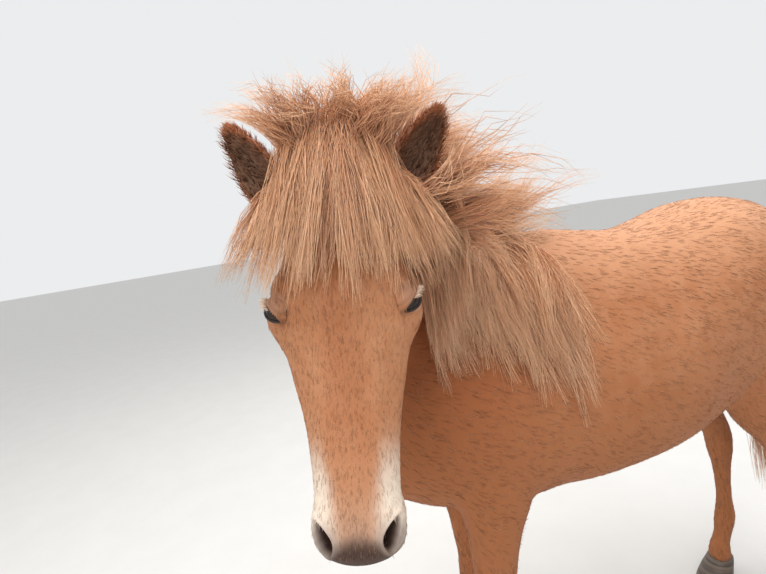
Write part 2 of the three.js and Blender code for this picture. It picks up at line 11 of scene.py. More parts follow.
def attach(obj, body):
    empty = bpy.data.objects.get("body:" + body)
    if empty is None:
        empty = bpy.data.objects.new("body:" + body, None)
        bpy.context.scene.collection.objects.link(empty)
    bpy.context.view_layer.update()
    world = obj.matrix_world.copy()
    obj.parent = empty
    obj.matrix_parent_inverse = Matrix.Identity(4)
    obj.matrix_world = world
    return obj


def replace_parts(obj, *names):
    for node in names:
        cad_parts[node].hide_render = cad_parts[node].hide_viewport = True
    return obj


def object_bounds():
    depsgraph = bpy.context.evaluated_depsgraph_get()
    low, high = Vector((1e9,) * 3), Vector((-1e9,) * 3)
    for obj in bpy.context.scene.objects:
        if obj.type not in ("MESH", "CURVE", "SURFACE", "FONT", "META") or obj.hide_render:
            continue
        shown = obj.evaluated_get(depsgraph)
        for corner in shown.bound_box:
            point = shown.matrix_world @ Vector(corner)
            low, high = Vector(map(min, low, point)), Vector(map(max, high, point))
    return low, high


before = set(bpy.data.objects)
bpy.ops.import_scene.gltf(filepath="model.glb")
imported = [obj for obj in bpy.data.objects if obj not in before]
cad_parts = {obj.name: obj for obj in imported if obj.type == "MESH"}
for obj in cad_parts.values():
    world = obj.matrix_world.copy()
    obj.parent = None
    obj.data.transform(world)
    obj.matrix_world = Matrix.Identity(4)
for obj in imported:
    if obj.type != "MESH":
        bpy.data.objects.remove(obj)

bl_info = {
    "name": "Icelandic Horse",
    "version": (1, 0, 0),
    "blender": (4, 5, 0),
    "location": "View3D > Sidebar > Horse",
    "description": "Coat, hair, eyes and hooves of a young chestnut horse",
    "category": "Object",
}

CAD_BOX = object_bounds()
MM = 0.001
# The photograph's viewpoint, before the shift: its place, and its turn, downward pitch and roll in degrees
VIEW_FROM = Vector((0.907, -0.539, 1.386))
VIEW_TURNS = (71, 8, -9)
# The photograph's focal length and width in its pixels, and the camera's sensor in millimetres
FOCAL_LENGTH, PICTURE_WIDTH, SENSOR_WIDTH = 460, 766, 36
# From the middle of the horse's box back to the point under its withers
SHIFT = Vector((-76.7, -277.6, 0.0))

POLL = (262, -364, 1464)
NOSE_OUT, TURN_LEFT, TILT = 17, 69, 4
EYE_AT = (87, 14, -187)
NOSTRIL_AT = (50, 2, -488)
LIP_LINE = 60
EYE_RADIUS = 20
# How far skin and lids stay outside the eye's ball
LID_CLEAR = 1.2
# Below the poll, where the head's own frame ends
HEAD_END = -560
# The least gap between hair and skin, and the size of a strand's patch in the OFBake map
HAIR_CLEAR = 0.003
PATCH = 0.003
# Colours of small places, which the look doesn't change
LID_FOLD = (0.34, 0.22, 0.16)
UNDER_EYE = (0.60, 0.40, 0.31)
WORN_HORN = (0.22, 0.17, 0.12)
FLOOR_TONES = ((0.66, 0.65, 0.63), (0.60, 0.59, 0.57))
# The seed of each group's random numbers, and the most strands in one piece
SEEDS = {"lashes": 3, "ears": 5, "forelock": 11, "mane": 29, "tail_hair": 47, "fur": 71}
MOST_STRANDS = {"forelock": 5600, "mane": 4900, "tail_hair": 3600}
HEAD = (
    Matrix.Translation(Vector(POLL) + SHIFT)
    @ Matrix.Rotation(math.radians(TURN_LEFT), 4, "Z")
    @ Matrix.Rotation(math.radians(TILT), 4, "Y")
    @ Matrix.Rotation(math.radians(-NOSE_OUT), 4, "X")
)
BODY = Matrix.Translation(SHIFT)

# y, top, bottom, half width, how much wider the top is
TORSO_ROWS = [
    (-348, 978, 868, 58, 0),
    (-325, 1035, 812, 100, 0),
    (-268, 1112, 765, 134, -0.06),
    (-180, 1190, 730, 156, -0.14),
    (-80, 1252, 716, 166, -0.2),
    (20, 1288, 708, 174, -0.24),
    (135, 1312, 702, 192, -0.22),
    (250, 1296, 698, 222, -0.14),
    (380, 1280, 704, 238, -0.08),
    (500, 1284, 726, 236, -0.02),
    (600, 1304, 762, 226, 0.02),
    (690, 1322, 812, 218, 0.04),
    (780, 1316, 858, 204, 0.02),
    (862, 1280, 905, 168, 0),
    (915, 1222, 952, 118, 0),
    (938, 1172, 1002, 66, 0),
]
# x, y, z, half width, reach to the crest, reach to the throat, how much wider the top is
NECK_ROWS = [
    (0, -60, 1040, 112, 228, 235, -0.3),
    (4, -140, 1122, 102, 198, 206, -0.3),
    (20, -208, 1204, 86, 164, 164, -0.28),
    (54, -266, 1280, 74, 140, 132, -0.24),
    (106, -310, 1344, 66, 118, 110, -0.2),
    (164, -338, 1390, 60, 98, 94, -0.15),
]
# Distance below the poll, reach of the face, reach of the jaw, half width, top wider, squareness
HEAD_ROWS = [
    (-26, -52, -98, 28, 0, 2),
    (-16, -22, -132, 52, 0, 2.2),
    (6, -2, -160, 68, 0.02, 2.3),
    (46, 10, -186, 82, 0.06, 2.3),
    (90, 17, -206, 91, 0.08, 2.4),
    (134, 20, -216, 96, 0.1, 2.4),
    (178, 19, -216, 97, 0.1, 2.4),
    (218, 15, -204, 94, 0.1, 2.4),
    (258, 10, -180, 86, 0.1, 2.4),
    (300, 6, -152, 77, 0.08, 2.3),
    (345, 3, -124, 68, 0.04, 2.3),
    (392, 1, -104, 62, 0, 2.3),
    (436, 0, -98, 59, -0.02, 2.3),
    (472, -3, -96, 60, -0.02, 2.3),
    (500, -10, -93, 58, 0, 2.3),
    (516, -24, -84, 47, 0, 2.2),
    (526, -42, -72, 27, 0, 2),
]
# Forward of the leg's line, height, half width, reach forward, reach back
FORELEG_ROWS = [
    (-6, 905, 46, 104, 88),
    (0, 830, 52, 96, 92),
    (4, 770, 50, 74, 88),
    (8, 712, 46, 58, 66),
    (10, 640, 40, 49, 51),
    (11, 560, 35, 41, 42),
    (12, 490, 32, 35, 36),
    (12, 445, 35, 38, 35),
    (12, 408, 36, 38, 35),
    (10, 372, 30, 30, 31),
    (9, 335, 24, 23, 28),
    (9, 270, 22, 21, 27),
    (10, 232, 25, 23, 29),
    (12, 202, 29, 28, 34),
    (20, 172, 27, 26, 30),
    (34, 136, 24, 23, 26),
    (46, 104, 29, 29, 30),
    (52, 66, 35, 35, 35),
]
HINDLEG_ROWS = [
    (70, 1120, 66, 120, 120),
    (96, 1030, 82, 150, 156),
    (104, 940, 84, 166, 150),
    (104, 855, 76, 152, 122),
    (84, 775, 62, 118, 100),
    (48, 702, 50, 86, 76),
    (12, 636, 42, 62, 56),
    (-20, 580, 35, 46, 48),
    (-40, 532, 33, 40, 52),
    (-50, 488, 36, 40, 48),
    (-54, 446, 34, 37, 38),
    (-54, 404, 27, 29, 31),
    (-52, 350, 23, 24, 29),
    (-50, 285, 22, 22, 28),
    (-48, 242, 26, 24, 30),
    (-45, 210, 30, 29, 34),
    (-36, 178, 28, 27, 31),
    (-22, 140, 25, 24, 27),
    (-8, 106, 30, 30, 31),
    (-2, 66, 35, 35, 35),
]
# rows, x, y, how far the foot is set forward, how far outwards
LEGS = {
    "front_left": (FORELEG_ROWS, 122, -92, 46, -14),
    "front_right": (FORELEG_ROWS, -122, -52, -12, -14),
    "hind_left": (HINDLEG_ROWS, 132, 842, 26, -18),
    "hind_right": (HINDLEG_ROWS, -132, 842, -38, -18),
}
DOCK_ROWS = [
    (900, 1190, 40),
    (950, 1176, 40),
    (988, 1130, 34),
    (1002, 1060, 28),
    (1006, 980, 22),
    (1004, 910, 12),
]


def both(place, size, push):
    """The same bump on both sides of the body."""
    x, y, z = place
    u, v, w = push
    return [(place, size, push), ((-x, y, z), size, (-u, v, w))]


TORSO_BUMPS = (
    both((150, -150, 930), (70, 120, 190), (16, 0, 0))
    + both((140, -60, 790), (60, 90, 80), (14, 0, -8))
    + both((75, -335, 905), (60, 60, 70), (8, -16, 0))
    + both((190, 740, 1060), (80, 150, 170), (8, 0, 0))
    + both((175, 640, 1270), (50, 60, 50), (14, 0, 6))
    + both((215, 520, 900), (70, 90, 120), (-14, 0, 0))
    + both((150, 60, 1130), (50, 90, 100), (-14, 0, 0))
    + [((0, -345, 940), (22, 60, 90), (0, 12, 0))]
)
HEAD_BUMPS = (
    both((96, 4, -168), (34, 44, 36), (27, -4, 0))
    + both((94, 20, -214), (30, 42, 30), (21, 0, 0))
    + both((74, 20, -108), (16, 26, 24), (-9, 0, 0))
    + both((78, 112, -150), (30, 60, 60), (-6, 0, 0))
    + both((72, 40, -262), (16, 14, 60), (5, 0, 0))
    + both((56, 10, -330), (16, 26, 60), (-5, 0, 0))
    + both((44, 22, -478), (20, 26, 28), (10, -2, 0))
    + both((26, -4, -470), (18, 16, 26), (2, -5, 0))
    + [
        ((0, -2, -478), (12, 16, 30), (0, 5, 0)),
        ((0, 92, -492), (34, 18, 16), (0, 12, 0)),
        ((0, 98, -440), (26, 16, 26), (0, -10, 0)),
        ((0, 190, -150), (30, 50, 90), (0, -26, 0)),
    ]
)


def unit(v):
    return v / np.maximum(np.linalg.norm(v, axis=-1, keepdims=True), 1e-9)


def moved(matrix, points):
    m = np.array(matrix)
    return points @ m[:3, :3].T + m[:3, 3]


def turned(matrix, ways):
    return ways @ np.array(matrix)[:3, :3].T


def folded(points):
    """The right half of the head laid over the left."""
    return np.column_stack([np.abs(points[:, 0]), points[:, 1:]])


def bent_grid(bm, rings, sides, shape):
    """A grid bent by shape, which takes places along and around it, both from 0 to 1."""
    verts = bmesh.ops.create_grid(bm, x_segments=rings, y_segments=sides, size=0.5)["verts"]
    place = np.array([v.co for v in verts]) + 0.5
    for v, p in zip(verts, shape(place[:, 0], place[:, 1])):
        v.co = p
    bmesh.ops.remove_doubles(bm, verts=verts, dist=1e-5)


def fill_ends(bm):
    bmesh.ops.holes_fill(bm, edges=[e for e in bm.edges if e.is_boundary], sides=0)


def relax(bm, verts):
    bmesh.ops.smooth_vert(bm, verts=verts, factor=0.5, use_axis_x=True, use_axis_y=True, use_axis_z=True)


def smooth_rows(rows, u):
    """Values of the table between its rows, along a Catmull-Rom curve."""
    rows = np.asarray(rows, float)
    ends = np.vstack([2 * rows[0] - rows[1], rows, 2 * rows[-1] - rows[-2]])
    i = np.clip(np.floor(u).astype(int), 0, len(rows) - 2)
    t = (u - i)[:, None]
    a, b, c, d = (ends[i + k] for k in range(4))
    square, cube = 2 * a - 5 * b + 4 * c - d, 3 * b - a - 3 * c + d
    return 0.5 * (2 * b + (c - a) * t + square * t**2 + cube * t**3)


def swollen(points, bumps):
    out = points.copy()
    for place, size, push in bumps:
        away = (((points - np.array(place)) / np.array(size)) ** 2).sum(1)
        out += np.exp(-away)[:, None] * np.array(push)
    return out


class Tube:
    """A body along a smooth line, each row with its own section. Millimetres, before its matrix."""

    def __init__(self, rows, bumps=(), matrix=BODY):
        # rows: x, y, z, side, up, down, wider, square, top x, y, z
        self.rows = np.asarray(rows, float)
        self.bumps = bumps
        self.matrix = matrix
        self.last = len(rows) - 1

    def frames(self, u):
        r = smooth_rows(self.rows, u)
        ahead = smooth_rows(self.rows, np.minimum(u + 0.02, self.last))[:, :3]
        back = smooth_rows(self.rows, np.maximum(u - 0.02, 0))[:, :3]
        along = unit(ahead - back)
        top = r[:, 8:11]
        top = unit(top - along * (top * along).sum(1, keepdims=True))
        return r, along, top, np.cross(along, top)

    def surface(self, u, angle, grow=0.0):
        r, along, top, side = self.frames(u)
        c, s = np.cos(angle), np.sin(angle)
        power = 2 / r[:, 7]
        across = np.sign(c) * np.abs(c) ** power * (r[:, 3] + grow) * (1 + r[:, 6] * s)
        upward = np.sign(s) * np.abs(s) ** power * (np.where(s > 0, r[:, 4], r[:, 5]) + grow)
        p = r[:, :3] + side * across[:, None] + top * upward[:, None]
        return moved(self.matrix, swollen(p, self.bumps))

    def add_to(self, bm, rings, sides):
        bent_grid(bm, rings, sides, lambda u, w: self.surface(u * self.last, w * 2 * math.pi) * MM)
        fill_ends(bm)


def torso_tube():
    rows = []
    for y, top, bottom, side, wider in TORSO_ROWS:
        half = (top - bottom) / 2
        rows.append((0, y, (top + bottom) / 2, side, half, half, wider, 2.1, 0, 0, 1))
    return Tube(rows, TORSO_BUMPS)


def head_tube():
    rows = []
    for z, face, jaw, side, wider, square in HEAD_ROWS:
        half = (face - jaw) / 2
        rows.append((0, -(face + jaw) / 2, -z, side, half, half, wider, square, 0, -1, 0))
    return Tube(rows, HEAD_BUMPS, HEAD)


def neck_tube():
    tops = [(0, 0.7, 0.7), (0, 0.72, 0.7), (-0.05, 0.7, 0.65), (-0.2, 0.75, 0.6), (-0.4, 0.7, 0.6)]
    tops.append(tops[-1])
    rows = [(x, y, z, s, u, d, w, 2.1, *top) for (x, y, z, s, u, d, w), top in zip(NECK_ROWS, tops)]
    inner = BODY.inverted() @ HEAD
    end = inner @ Vector((0, 84, -78))
    way = (inner.to_3x3() @ Vector((0, 0.62, 0.78))).normalized()
    rows.append((*end, 50, 66, 76, 0, 2.1, *way))
    return Tube(rows)


def leg_tube(name):
    table, x, y, step, spread = LEGS[name]
    high = table[0][1]
    rows = []
    for forward, height, side, front, back in table:
        low = 1 - height / high
        at = x + math.copysign(1, x) * spread * low
        rows.append((at, y - forward - step * low, height, side, front, back, 0, 2.2, 0, -1, 0))
    return Tube(rows)


def dock_tube():
    return Tube([(0, y, z, h, h, h, 0, 2, 0, 1, 0.2) for y, z, h in DOCK_ROWS])


# Materials


class Sock:
    """A socket with arithmetic, for writing shader maths as expressions."""

    def __init__(self, paint, link):
        self.paint = paint
        self.link = link

    def _op(self, kind, *args):
        return self.paint.node("ShaderNodeMath", {"operation": kind}, list(args))

    def __add__(self, other):
        return self._op("ADD", self, other)

    def __radd__(self, other):
        return self._op("ADD", other, self)

    def __sub__(self, other):
        return self._op("SUBTRACT", self, other)

    def __rsub__(self, other):
        return self._op("SUBTRACT", other, self)

    def __mul__(self, other):
        return self._op("MULTIPLY", self, other)

    def __rmul__(self, other):
        return self._op("MULTIPLY", other, self)

    def __pow__(self, other):
        return self._op("POWER", self, other)

    def smooth(self, low, high):
        """0 below low, 1 above high, and a smooth step between them."""
        values = {0: self, 1: low, 2: high, 3: 0.0, 4: 1.0}
        return self.paint.node("ShaderNodeMapRange", {"interpolation_type": "SMOOTHSTEP"}, values)


class Paint:
    """A material's node tree, with one method that makes any node."""

    def __init__(self, name):
        self.material = bpy.data.materials.new(name)
        self.material.use_nodes = True
        self.tree = self.material.node_tree
        self.shader = self.tree.nodes["Principled BSDF"]

    def node(self, kind, settings=None, inputs=None, output=0):
        made = self.tree.nodes.new(kind)
        for key, value in (settings or {}).items():
            setattr(made, key, value)
        items = inputs.items() if isinstance(inputs, dict) else enumerate(inputs or [])
        for key, value in items:
            self.set(made.inputs[key], value)
        return Sock(self, made.outputs[output])

    def set(self, socket, value):
        if isinstance(value, Sock):
            self.tree.links.new(value.link, socket)
        elif hasattr(socket.default_value, "__len__") and not hasattr(value, "__len__"):
            socket.default_value = [value] * len(socket.default_value)
        elif hasattr(value, "__len__") and len(value) == 3 and len(socket.default_value) == 4:
            socket.default_value = (*value, 1)
        else:
            socket.default_value = value

    def put(self, **values):
        for key, value in values.items():
            self.set(self.shader.inputs[key.replace("_", " ")], value)

    def place(self):
        return self.node("ShaderNodeTexCoord", output="Object")

    def mapped(self, matrix):
        """Object coordinates in the millimetres of a turned frame."""
        loc, rot, scale = (matrix.inverted() @ Matrix.Scale(1 / MM, 4)).decompose()
        turns = tuple(rot.to_euler("XYZ"))
        inputs = {"Vector": self.place(), "Location": tuple(loc), "Rotation": turns, "Scale": tuple(scale)}
        return self.node("ShaderNodeMapping", {"vector_type": "POINT"}, inputs)

    def parts(self, vector):
        made = self.tree.nodes.new("ShaderNodeSeparateXYZ")
        self.tree.links.new(vector.link, made.inputs[0])
        return [Sock(self, out) for out in made.outputs]

    def noise(self, vector, scale, detail=3.0, roughness=0.55):
        inputs = {"Vector": vector, "Scale": scale, "Detail": detail, "Roughness": roughness}
        return self.node("ShaderNodeTexNoise", {}, inputs)

    def stretched(self, scale):
        inputs = {"Vector": self.place(), "Scale": scale}
        return self.node("ShaderNodeMapping", {"vector_type": "POINT"}, inputs)

    def mix(self, factor, a, b):
        made = self.tree.nodes.new("ShaderNodeMix")
        made.data_type = "RGBA"
        self.set(made.inputs[0], factor)
        self.set(made.inputs[6], a)
        self.set(made.inputs[7], b)
        return Sock(self, made.outputs[2])

    def attribute(self, name):
        return self.node("ShaderNodeAttribute", {"attribute_name": name}, output="Fac")

    def bump(self, height, strength, distance):
        return self.node("ShaderNodeBump", {}, {"Strength": strength, "Distance": distance, "Height": height})


def coat_colour(paint, look):
    """The coat's markings, together with its painted shade and painted light, which the skin and its tufts
    share.
    """
    x, y, z = paint.parts(paint.mapped(HEAD))
    spot = paint.parts(paint.place())
    broad = paint.noise(paint.place(), 3.0)
    fine = paint.noise(paint.place(), 26.0)
    away = (x * x) ** 0.5

    def distance(place):
        """How far from a place on the head and from its mirror image."""
        a, b, c = (value - at for value, at in zip((away, y, z), place))
        return (a * a + b * b + c * c) ** 0.5

    colour = paint.mix(broad.smooth(0.35, 0.7), look.coat, look.coat_deep)
    colour = paint.mix(fine.smooth(0.3, 0.8) * 0.35, colour, look.coat_light)
    # Deep red neck under the mane, partly its own red and partly painted shade from the mane; painted shade
    # darker towards the belly; painted light paler along the back
    around = (x * x + (y - 60) * (y - 60)) ** 0.5
    is_head = (1 - around.smooth(150, 230)) * (1 - z.smooth(30, 90)) * z.smooth(-640, HEAD_END)
    # Painted shade: the neck and breast darker red, as under the mane
    front = 1 - spot[1].smooth(-0.42, -0.12)
    colour = paint.mix(front * (1 - is_head) * 0.95, colour, look.coat_red)
    # Painted shade: the lower body and belly darker, as under a light from above
    low = 1 - spot[2].smooth(0.75, 1.25)
    colour = paint.mix(low * (1 - is_head) * 0.9, colour, look.coat_deep)
    # Painted light: the back paler, as lit from above
    high = spot[2].smooth(1.12, 1.3) * (1 - is_head) * (1 - front)
    colour = paint.mix(high * 0.8, colour, look.coat_light)
    # Darker stripe down the middle of the face
    stripe = (1 - away.smooth(10, 44)) * is_head * z.smooth(-420, -330)
    colour = paint.mix(stripe * 0.35, colour, look.coat_red)
    # Pale muzzle, grey around the nostrils, dark lips
    side = away.smooth(14, 46)
    wobble = (fine - 0.5) * 46
    pale = (1 - (z + wobble - side * 60).smooth(-500, -400)) * (0.25 + side * 0.75) * is_head
    colour = paint.mix(pale * 0.92, colour, look.muzzle)
    grey = (1 - (z + wobble * 0.5 - side * 10).smooth(-512, -474)) * is_head
    colour = paint.mix(grey * 0.6, colour, look.nostril)
    # Round the nostril, over the eye and under it
    for place, near, far, strength, tint in (
        ((52, 4, -488), 12, 36, 0.6, look.nostril),
        ((94, -1, -180), 9, 27, 0.5, LID_FOLD),
        ((106, 9, -196), 5, 14, 0.6, UNDER_EYE),
    ):
        colour = paint.mix((1 - distance(place).smooth(near, far)) * is_head * strength, colour, tint)
    chin = y.smooth(0, 40) * (1 - side)
    dark = (1 - (z + wobble * 0.3 + side * 24 - chin * 24).smooth(-507, -474)) * is_head
    colour = paint.mix(dark * 0.9, colour, look.lips)
    return colour, is_head


def skin_material(look):
    paint = Paint("short_coat")
    colour, is_head = coat_colour(paint, look)
    # Dark bare skin of nostrils, mouth and lids, with painted shade in their hollows and creases
    colour = paint.mix(paint.attribute("bare"), colour, look.lips)
    hairs = paint.noise(paint.stretched((420, 150, 220)), 1.0, 5.0, 0.7)
    hairs_head = paint.noise(paint.stretched((760, 760, 170)), 1.0, 5.0, 0.7)
    height = hairs * (1 - is_head) + hairs_head * is_head
    shade = height.smooth(0.3, 0.7)
    colour = paint.mix((1 - shade) * 0.14, colour, look.coat_red)
    paint.put(Base_Color=colour, Roughness=0.72 + (1 - shade) * 0.15, Normal=paint.bump(height, 0.5, 0.0025))
    paint.put(Specular_IOR_Level=0.14, Sheen_Weight=0.04)
    return paint.material


def fur_material(look):
    paint = Paint("coat_tufts")
    colour, _ = coat_colour(paint, look)
    tone = paint.attribute("tone")
    colour = paint.mix(tone.smooth(0.2, 1.0) * 0.42, colour, look.coat_light)
    colour = paint.mix((1 - tone.smooth(0.0, 0.4)) * 0.1, colour, look.coat_red)
    paint.put(Base_Color=colour, Roughness=0.72, Specular_IOR_Level=0.14, Sheen_Weight=0.04)
    return paint.material


def hair_material(look):
    paint = Paint("long_hair")
    along = paint.attribute("along")
    tone = paint.attribute("tone")
    colour = paint.mix(along.smooth(0.0, 0.75), look.hair_root, look.hair_mid)
    colour = paint.mix((along + (tone - 0.5) * 0.35).smooth(0.45, 1.05), colour, look.hair_tip)
    colour = paint.mix(tone.smooth(0.55, 1.0) * 0.45, colour, look.hair_tip)
    colour = paint.mix((1 - tone.smooth(0.0, 0.3)) * 0.5, colour, look.hair_root)
    paint.put(Base_Color=colour, Roughness=0.5 + tone * 0.12, Specular_IOR_Level=0.35, Sheen_Weight=0.2)
    return paint.material


def eye_material(look):
    paint = Paint("eye_glass")
    inner = paint.noise(paint.stretched((180, 180, 180)), 1.0, 3.0)
    colour = paint.mix(inner.smooth(0.3, 0.8), look.eye, look.iris)
    paint.put(Base_Color=colour, Roughness=0.08, Specular_IOR_Level=0.25)
    paint.put(Coat_Weight=0.1, Coat_Roughness=0.04)
    return paint.material


def lid_material(look):
    paint = Paint("eyelid_rim")
    grain = paint.noise(paint.place(), 900.0)
    colour = paint.mix(grain.smooth(0.3, 0.8) * 0.18, look.lips, look.nostril)
    paint.put(Base_Color=colour, Roughness=0.5, Specular_IOR_Level=0.12)
    return paint.material


def horn_material(look):
    paint = Paint("hoof_horn")
    z = paint.parts(paint.place())[2]
    rings = paint.noise(paint.stretched((6, 6, 150)), 1.0, 2.0)
    fibre = paint.noise(paint.stretched((300, 300, 20)), 1.0, 3.0)
    colour = paint.mix(rings.smooth(0.35, 0.65), look.horn_dark, look.horn_light)
    colour = paint.mix((1 - z.smooth(0.0, 0.018)) * 0.6, colour, WORN_HORN)
    paint.put(
        Base_Color=colour,
        Roughness=0.42 + fibre * 0.2,
        Normal=paint.bump(rings * 0.7 + fibre * 0.3, 0.4, 0.002),
    )
    return paint.material


def floor_material():
    paint = Paint("pale_floor")
    grain = paint.noise(paint.place(), 5.0)
    paint.put(Base_Color=paint.mix(grain.smooth(0.3, 0.7) * 0.3, *FLOOR_TONES), Roughness=0.9)
    return paint.material


# Shapes


def new_piece(name, bm, material):
    mesh = bpy.data.meshes.new(name)
    bm.to_mesh(mesh)
    bm.free()
    return finish_piece(name, mesh, material)


def finish_piece(name, mesh, material):
    piece = bpy.data.objects.new(name, mesh)
    bpy.context.scene.collection.objects.link(piece)
    mesh.materials.clear()
    mesh.materials.append(material)
    mesh.polygons.foreach_set("use_smooth", [True] * len(mesh.polygons))
    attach(piece, "root")
    return piece


def baked(piece):
    """The piece's mesh with its modifiers applied."""
    graph = bpy.context.evaluated_depsgraph_get()
    mesh = bpy.data.meshes.new_from_object(piece.evaluated_get(graph))
    piece.modifiers.clear()
    old = piece.data
    piece.data = mesh
    bpy.data.meshes.remove(old)
    return mesh


def coordinates(bm):
    return np.array([v.co for v in bm.verts])


def in_head(points):
    return moved(HEAD.inverted(), points / MM)


def vertex_values(mesh, name):
    """The place ("co") or the normal of each vertex."""
    values = np.empty(len(mesh.vertices) * 3, np.float32)
    mesh.vertices.foreach_get(name, values)
    return values.reshape(-1, 3).astype(float)


def point_attribute(mesh, name, values):
    mesh.attributes.new(name, "FLOAT", "POINT").data.foreach_set("value", values.astype(np.float32))


LID_LENGTH = 18.6
UPPER_SIDE = 1


def lid_half(a):
    """Half the opening between the lids at each place along it."""
    return 6.2 * np.sqrt(np.clip(1 - (a / LID_LENGTH) ** 2, 0, 1)) ** 1.3


def eye_axes():
    """Out of the head, along the opening towards its upper corner, and across it."""
    out = unit(np.array([0.80, -0.58, -0.10]))
    length = np.array([0.45, 0.42, 0.78])
    length = unit(length - out * (length @ out))
    return out, length, np.cross(out, length)


def on_ball(a, b):
    """The way out of the eye's ball at places along and across the opening between the lids."""
    out, length, across = eye_axes()
    tall = np.sqrt(np.maximum(EYE_RADIUS**2 - a**2 - b**2, 4))
    return unit(length * a[:, None] + across * b[:, None] + out * tall[:, None])


def snapped(bm, tube_tree):
    """The finer skin of the head drawn back onto the head's own surface, away from the neck."""
    co = coordinates(bm)
    p = in_head(co)
    free = np.clip((-60 - p[:, 2]) / 60, 0, 1) * np.clip((150 - p[:, 1] - p[:, 2] * 0.15) / 60, 0, 1)
    free *= (p[:, 2] > -580) & (np.abs(p[:, 0]) < 150) & (p[:, 1] > -90)
    for v, share in zip(bm.verts, free):
        if share > 0:
            at = tube_tree.find_nearest(v.co)[0]
            v.co = v.co.lerp(at, share)


def sculpt_head(bm):
    """Nostrils, mouth line and lids, pushed into the fine skin of the head. Returns how dark each place is:
    dark bare skin, with painted shade in the nostril's hollow, the mouth line's groove and the crease over
    the lid.
    """
    p = in_head(coordinates(bm))
    left = p[:, 0] >= 0
    q = folded(p)
    new = q.copy()
    # Nostril: a tall comma with a raised wing
    out = unit(np.array([0.62, -0.76, -0.15]))
    tall = np.array([0.22, -0.05, 1.0])
    tall = unit(tall - out * (tall @ out))
    wide = np.cross(out, tall)
    d = q - np.array(NOSTRIL_AT, float)
    a, b, c = d @ tall, d @ wide, d @ out
    curled = b + 0.014 * a * a
    f = (a / 19) ** 2 + (curled / 8.0) ** 2
    near = (np.abs(c) < 45) & (q[:, 2] < -430)
    hole = np.where(near, np.exp(-(f**1.7) * 1.1), 0)
    rim = np.where(near, np.exp(-((f - 2.0) ** 2) / 0.7), 0)
    new -= out * (hole * 27)[:, None]
    new += out * (rim * 2.6)[:, None]
    # Dark bare skin inside the nostril, with painted shade in its hollow
    bare = np.clip(hole * 3.2, 0, 1)
    # Mouth line between swollen lips
    line = q[:, 1] - LIP_LINE - 0.07 * (q[:, 2] + 490)
    there = np.clip((-446 - q[:, 2]) / 14, 0, 1) * (q[:, 2] > HEAD_END)
    groove = np.exp(-((line / 2.6) ** 2)) * there
    lip = np.exp(-(((np.abs(line) - 9) / 6) ** 2)) * there
    centre = np.array([0.0, 52.0, -468.0])
    inward = unit(centre - q)
    new += inward * (groove * 5.0 - lip * 2.4)[:, None]
    # Dark skin along the mouth line, with painted shade in its groove
    bare = np.maximum(bare, np.clip(groove * 1.3, 0, 1))
    # Wrinkles between the nostril and the lip
    fold = np.sin(q[:, 2] * 0.6 + q[:, 1] * 0.35)
    fold *= np.exp(-(((q[:, 2] + 492) / 24) ** 2)) * (q[:, 1] > 14)
    new -= inward * (fold * 0.45)[:, None]
    # Eye: the skin closes over the ball and leaves a slanting almond
    e_at = np.array(EYE_AT, float)
    out, length, across = eye_axes()
    d = q - e_at
    r = np.linalg.norm(d, axis=1)
    way = unit(d)
    round_ball = way * EYE_RADIUS
    ra, rb = round_ball @ length, round_ball @ across
    half = lid_half(ra)
    f = np.where(np.abs(ra) < LID_LENGTH, np.abs(rb) / np.maximum(half, 0.01), 9.0)
    near = (r < 60) & (d @ out > 0)
    edge = np.sqrt(np.maximum(ra**2 / LID_LENGTH**2 + (rb / 6.4) ** 2, 0))
    inside = near & (f < 1)
    new[inside] = (e_at + way * (EYE_RADIUS - 3.0))[inside]
    lid = near & ~inside
    snug = e_at + way * (EYE_RADIUS + 2.2 + 1.1 * np.clip(edge - 1, 0, 3))[:, None]
    ease = np.exp(-((np.clip(edge - 1, 0, 9) / 1.25) ** 2))
    new[lid] = (new * (1 - ease[:, None]) + snug * ease[:, None])[lid]
    upper = rb * UPPER_SIDE > 0
    crease = np.where(near & upper, np.exp(-(((edge - 1.85) / 0.2) ** 2)), 0)
    crease += np.where(near & ~upper, np.exp(-(((edge - 1.7) / 0.2) ** 2)) * 0.5, 0)
    brow = np.where(near & upper, np.exp(-(((edge - 2.5) / 0.4) ** 2)), 0)
    new += way * (brow * 2.2 - crease * 2.4)[:, None]
    deep = e_at + way * (EYE_RADIUS + LID_CLEAR)
    sunk = near & ~inside & (np.linalg.norm(new - e_at, axis=1) < EYE_RADIUS + LID_CLEAR)
    new[sunk] = deep[sunk]
    # Dark bare skin at the lid's edge, and painted shade in the crease over it
    bare = np.maximum(bare, np.where(near, np.clip(1.45 - edge * 0.95, 0, 1) + crease * 0.3, 0))
    bare = np.maximum(bare, inside)
    new[:, 0] = np.where(left, new[:, 0], -new[:, 0])
    for v, at in zip(bm.verts, moved(HEAD, new) * MM):
        v.co = at
    return np.clip(bare, 0, 1)


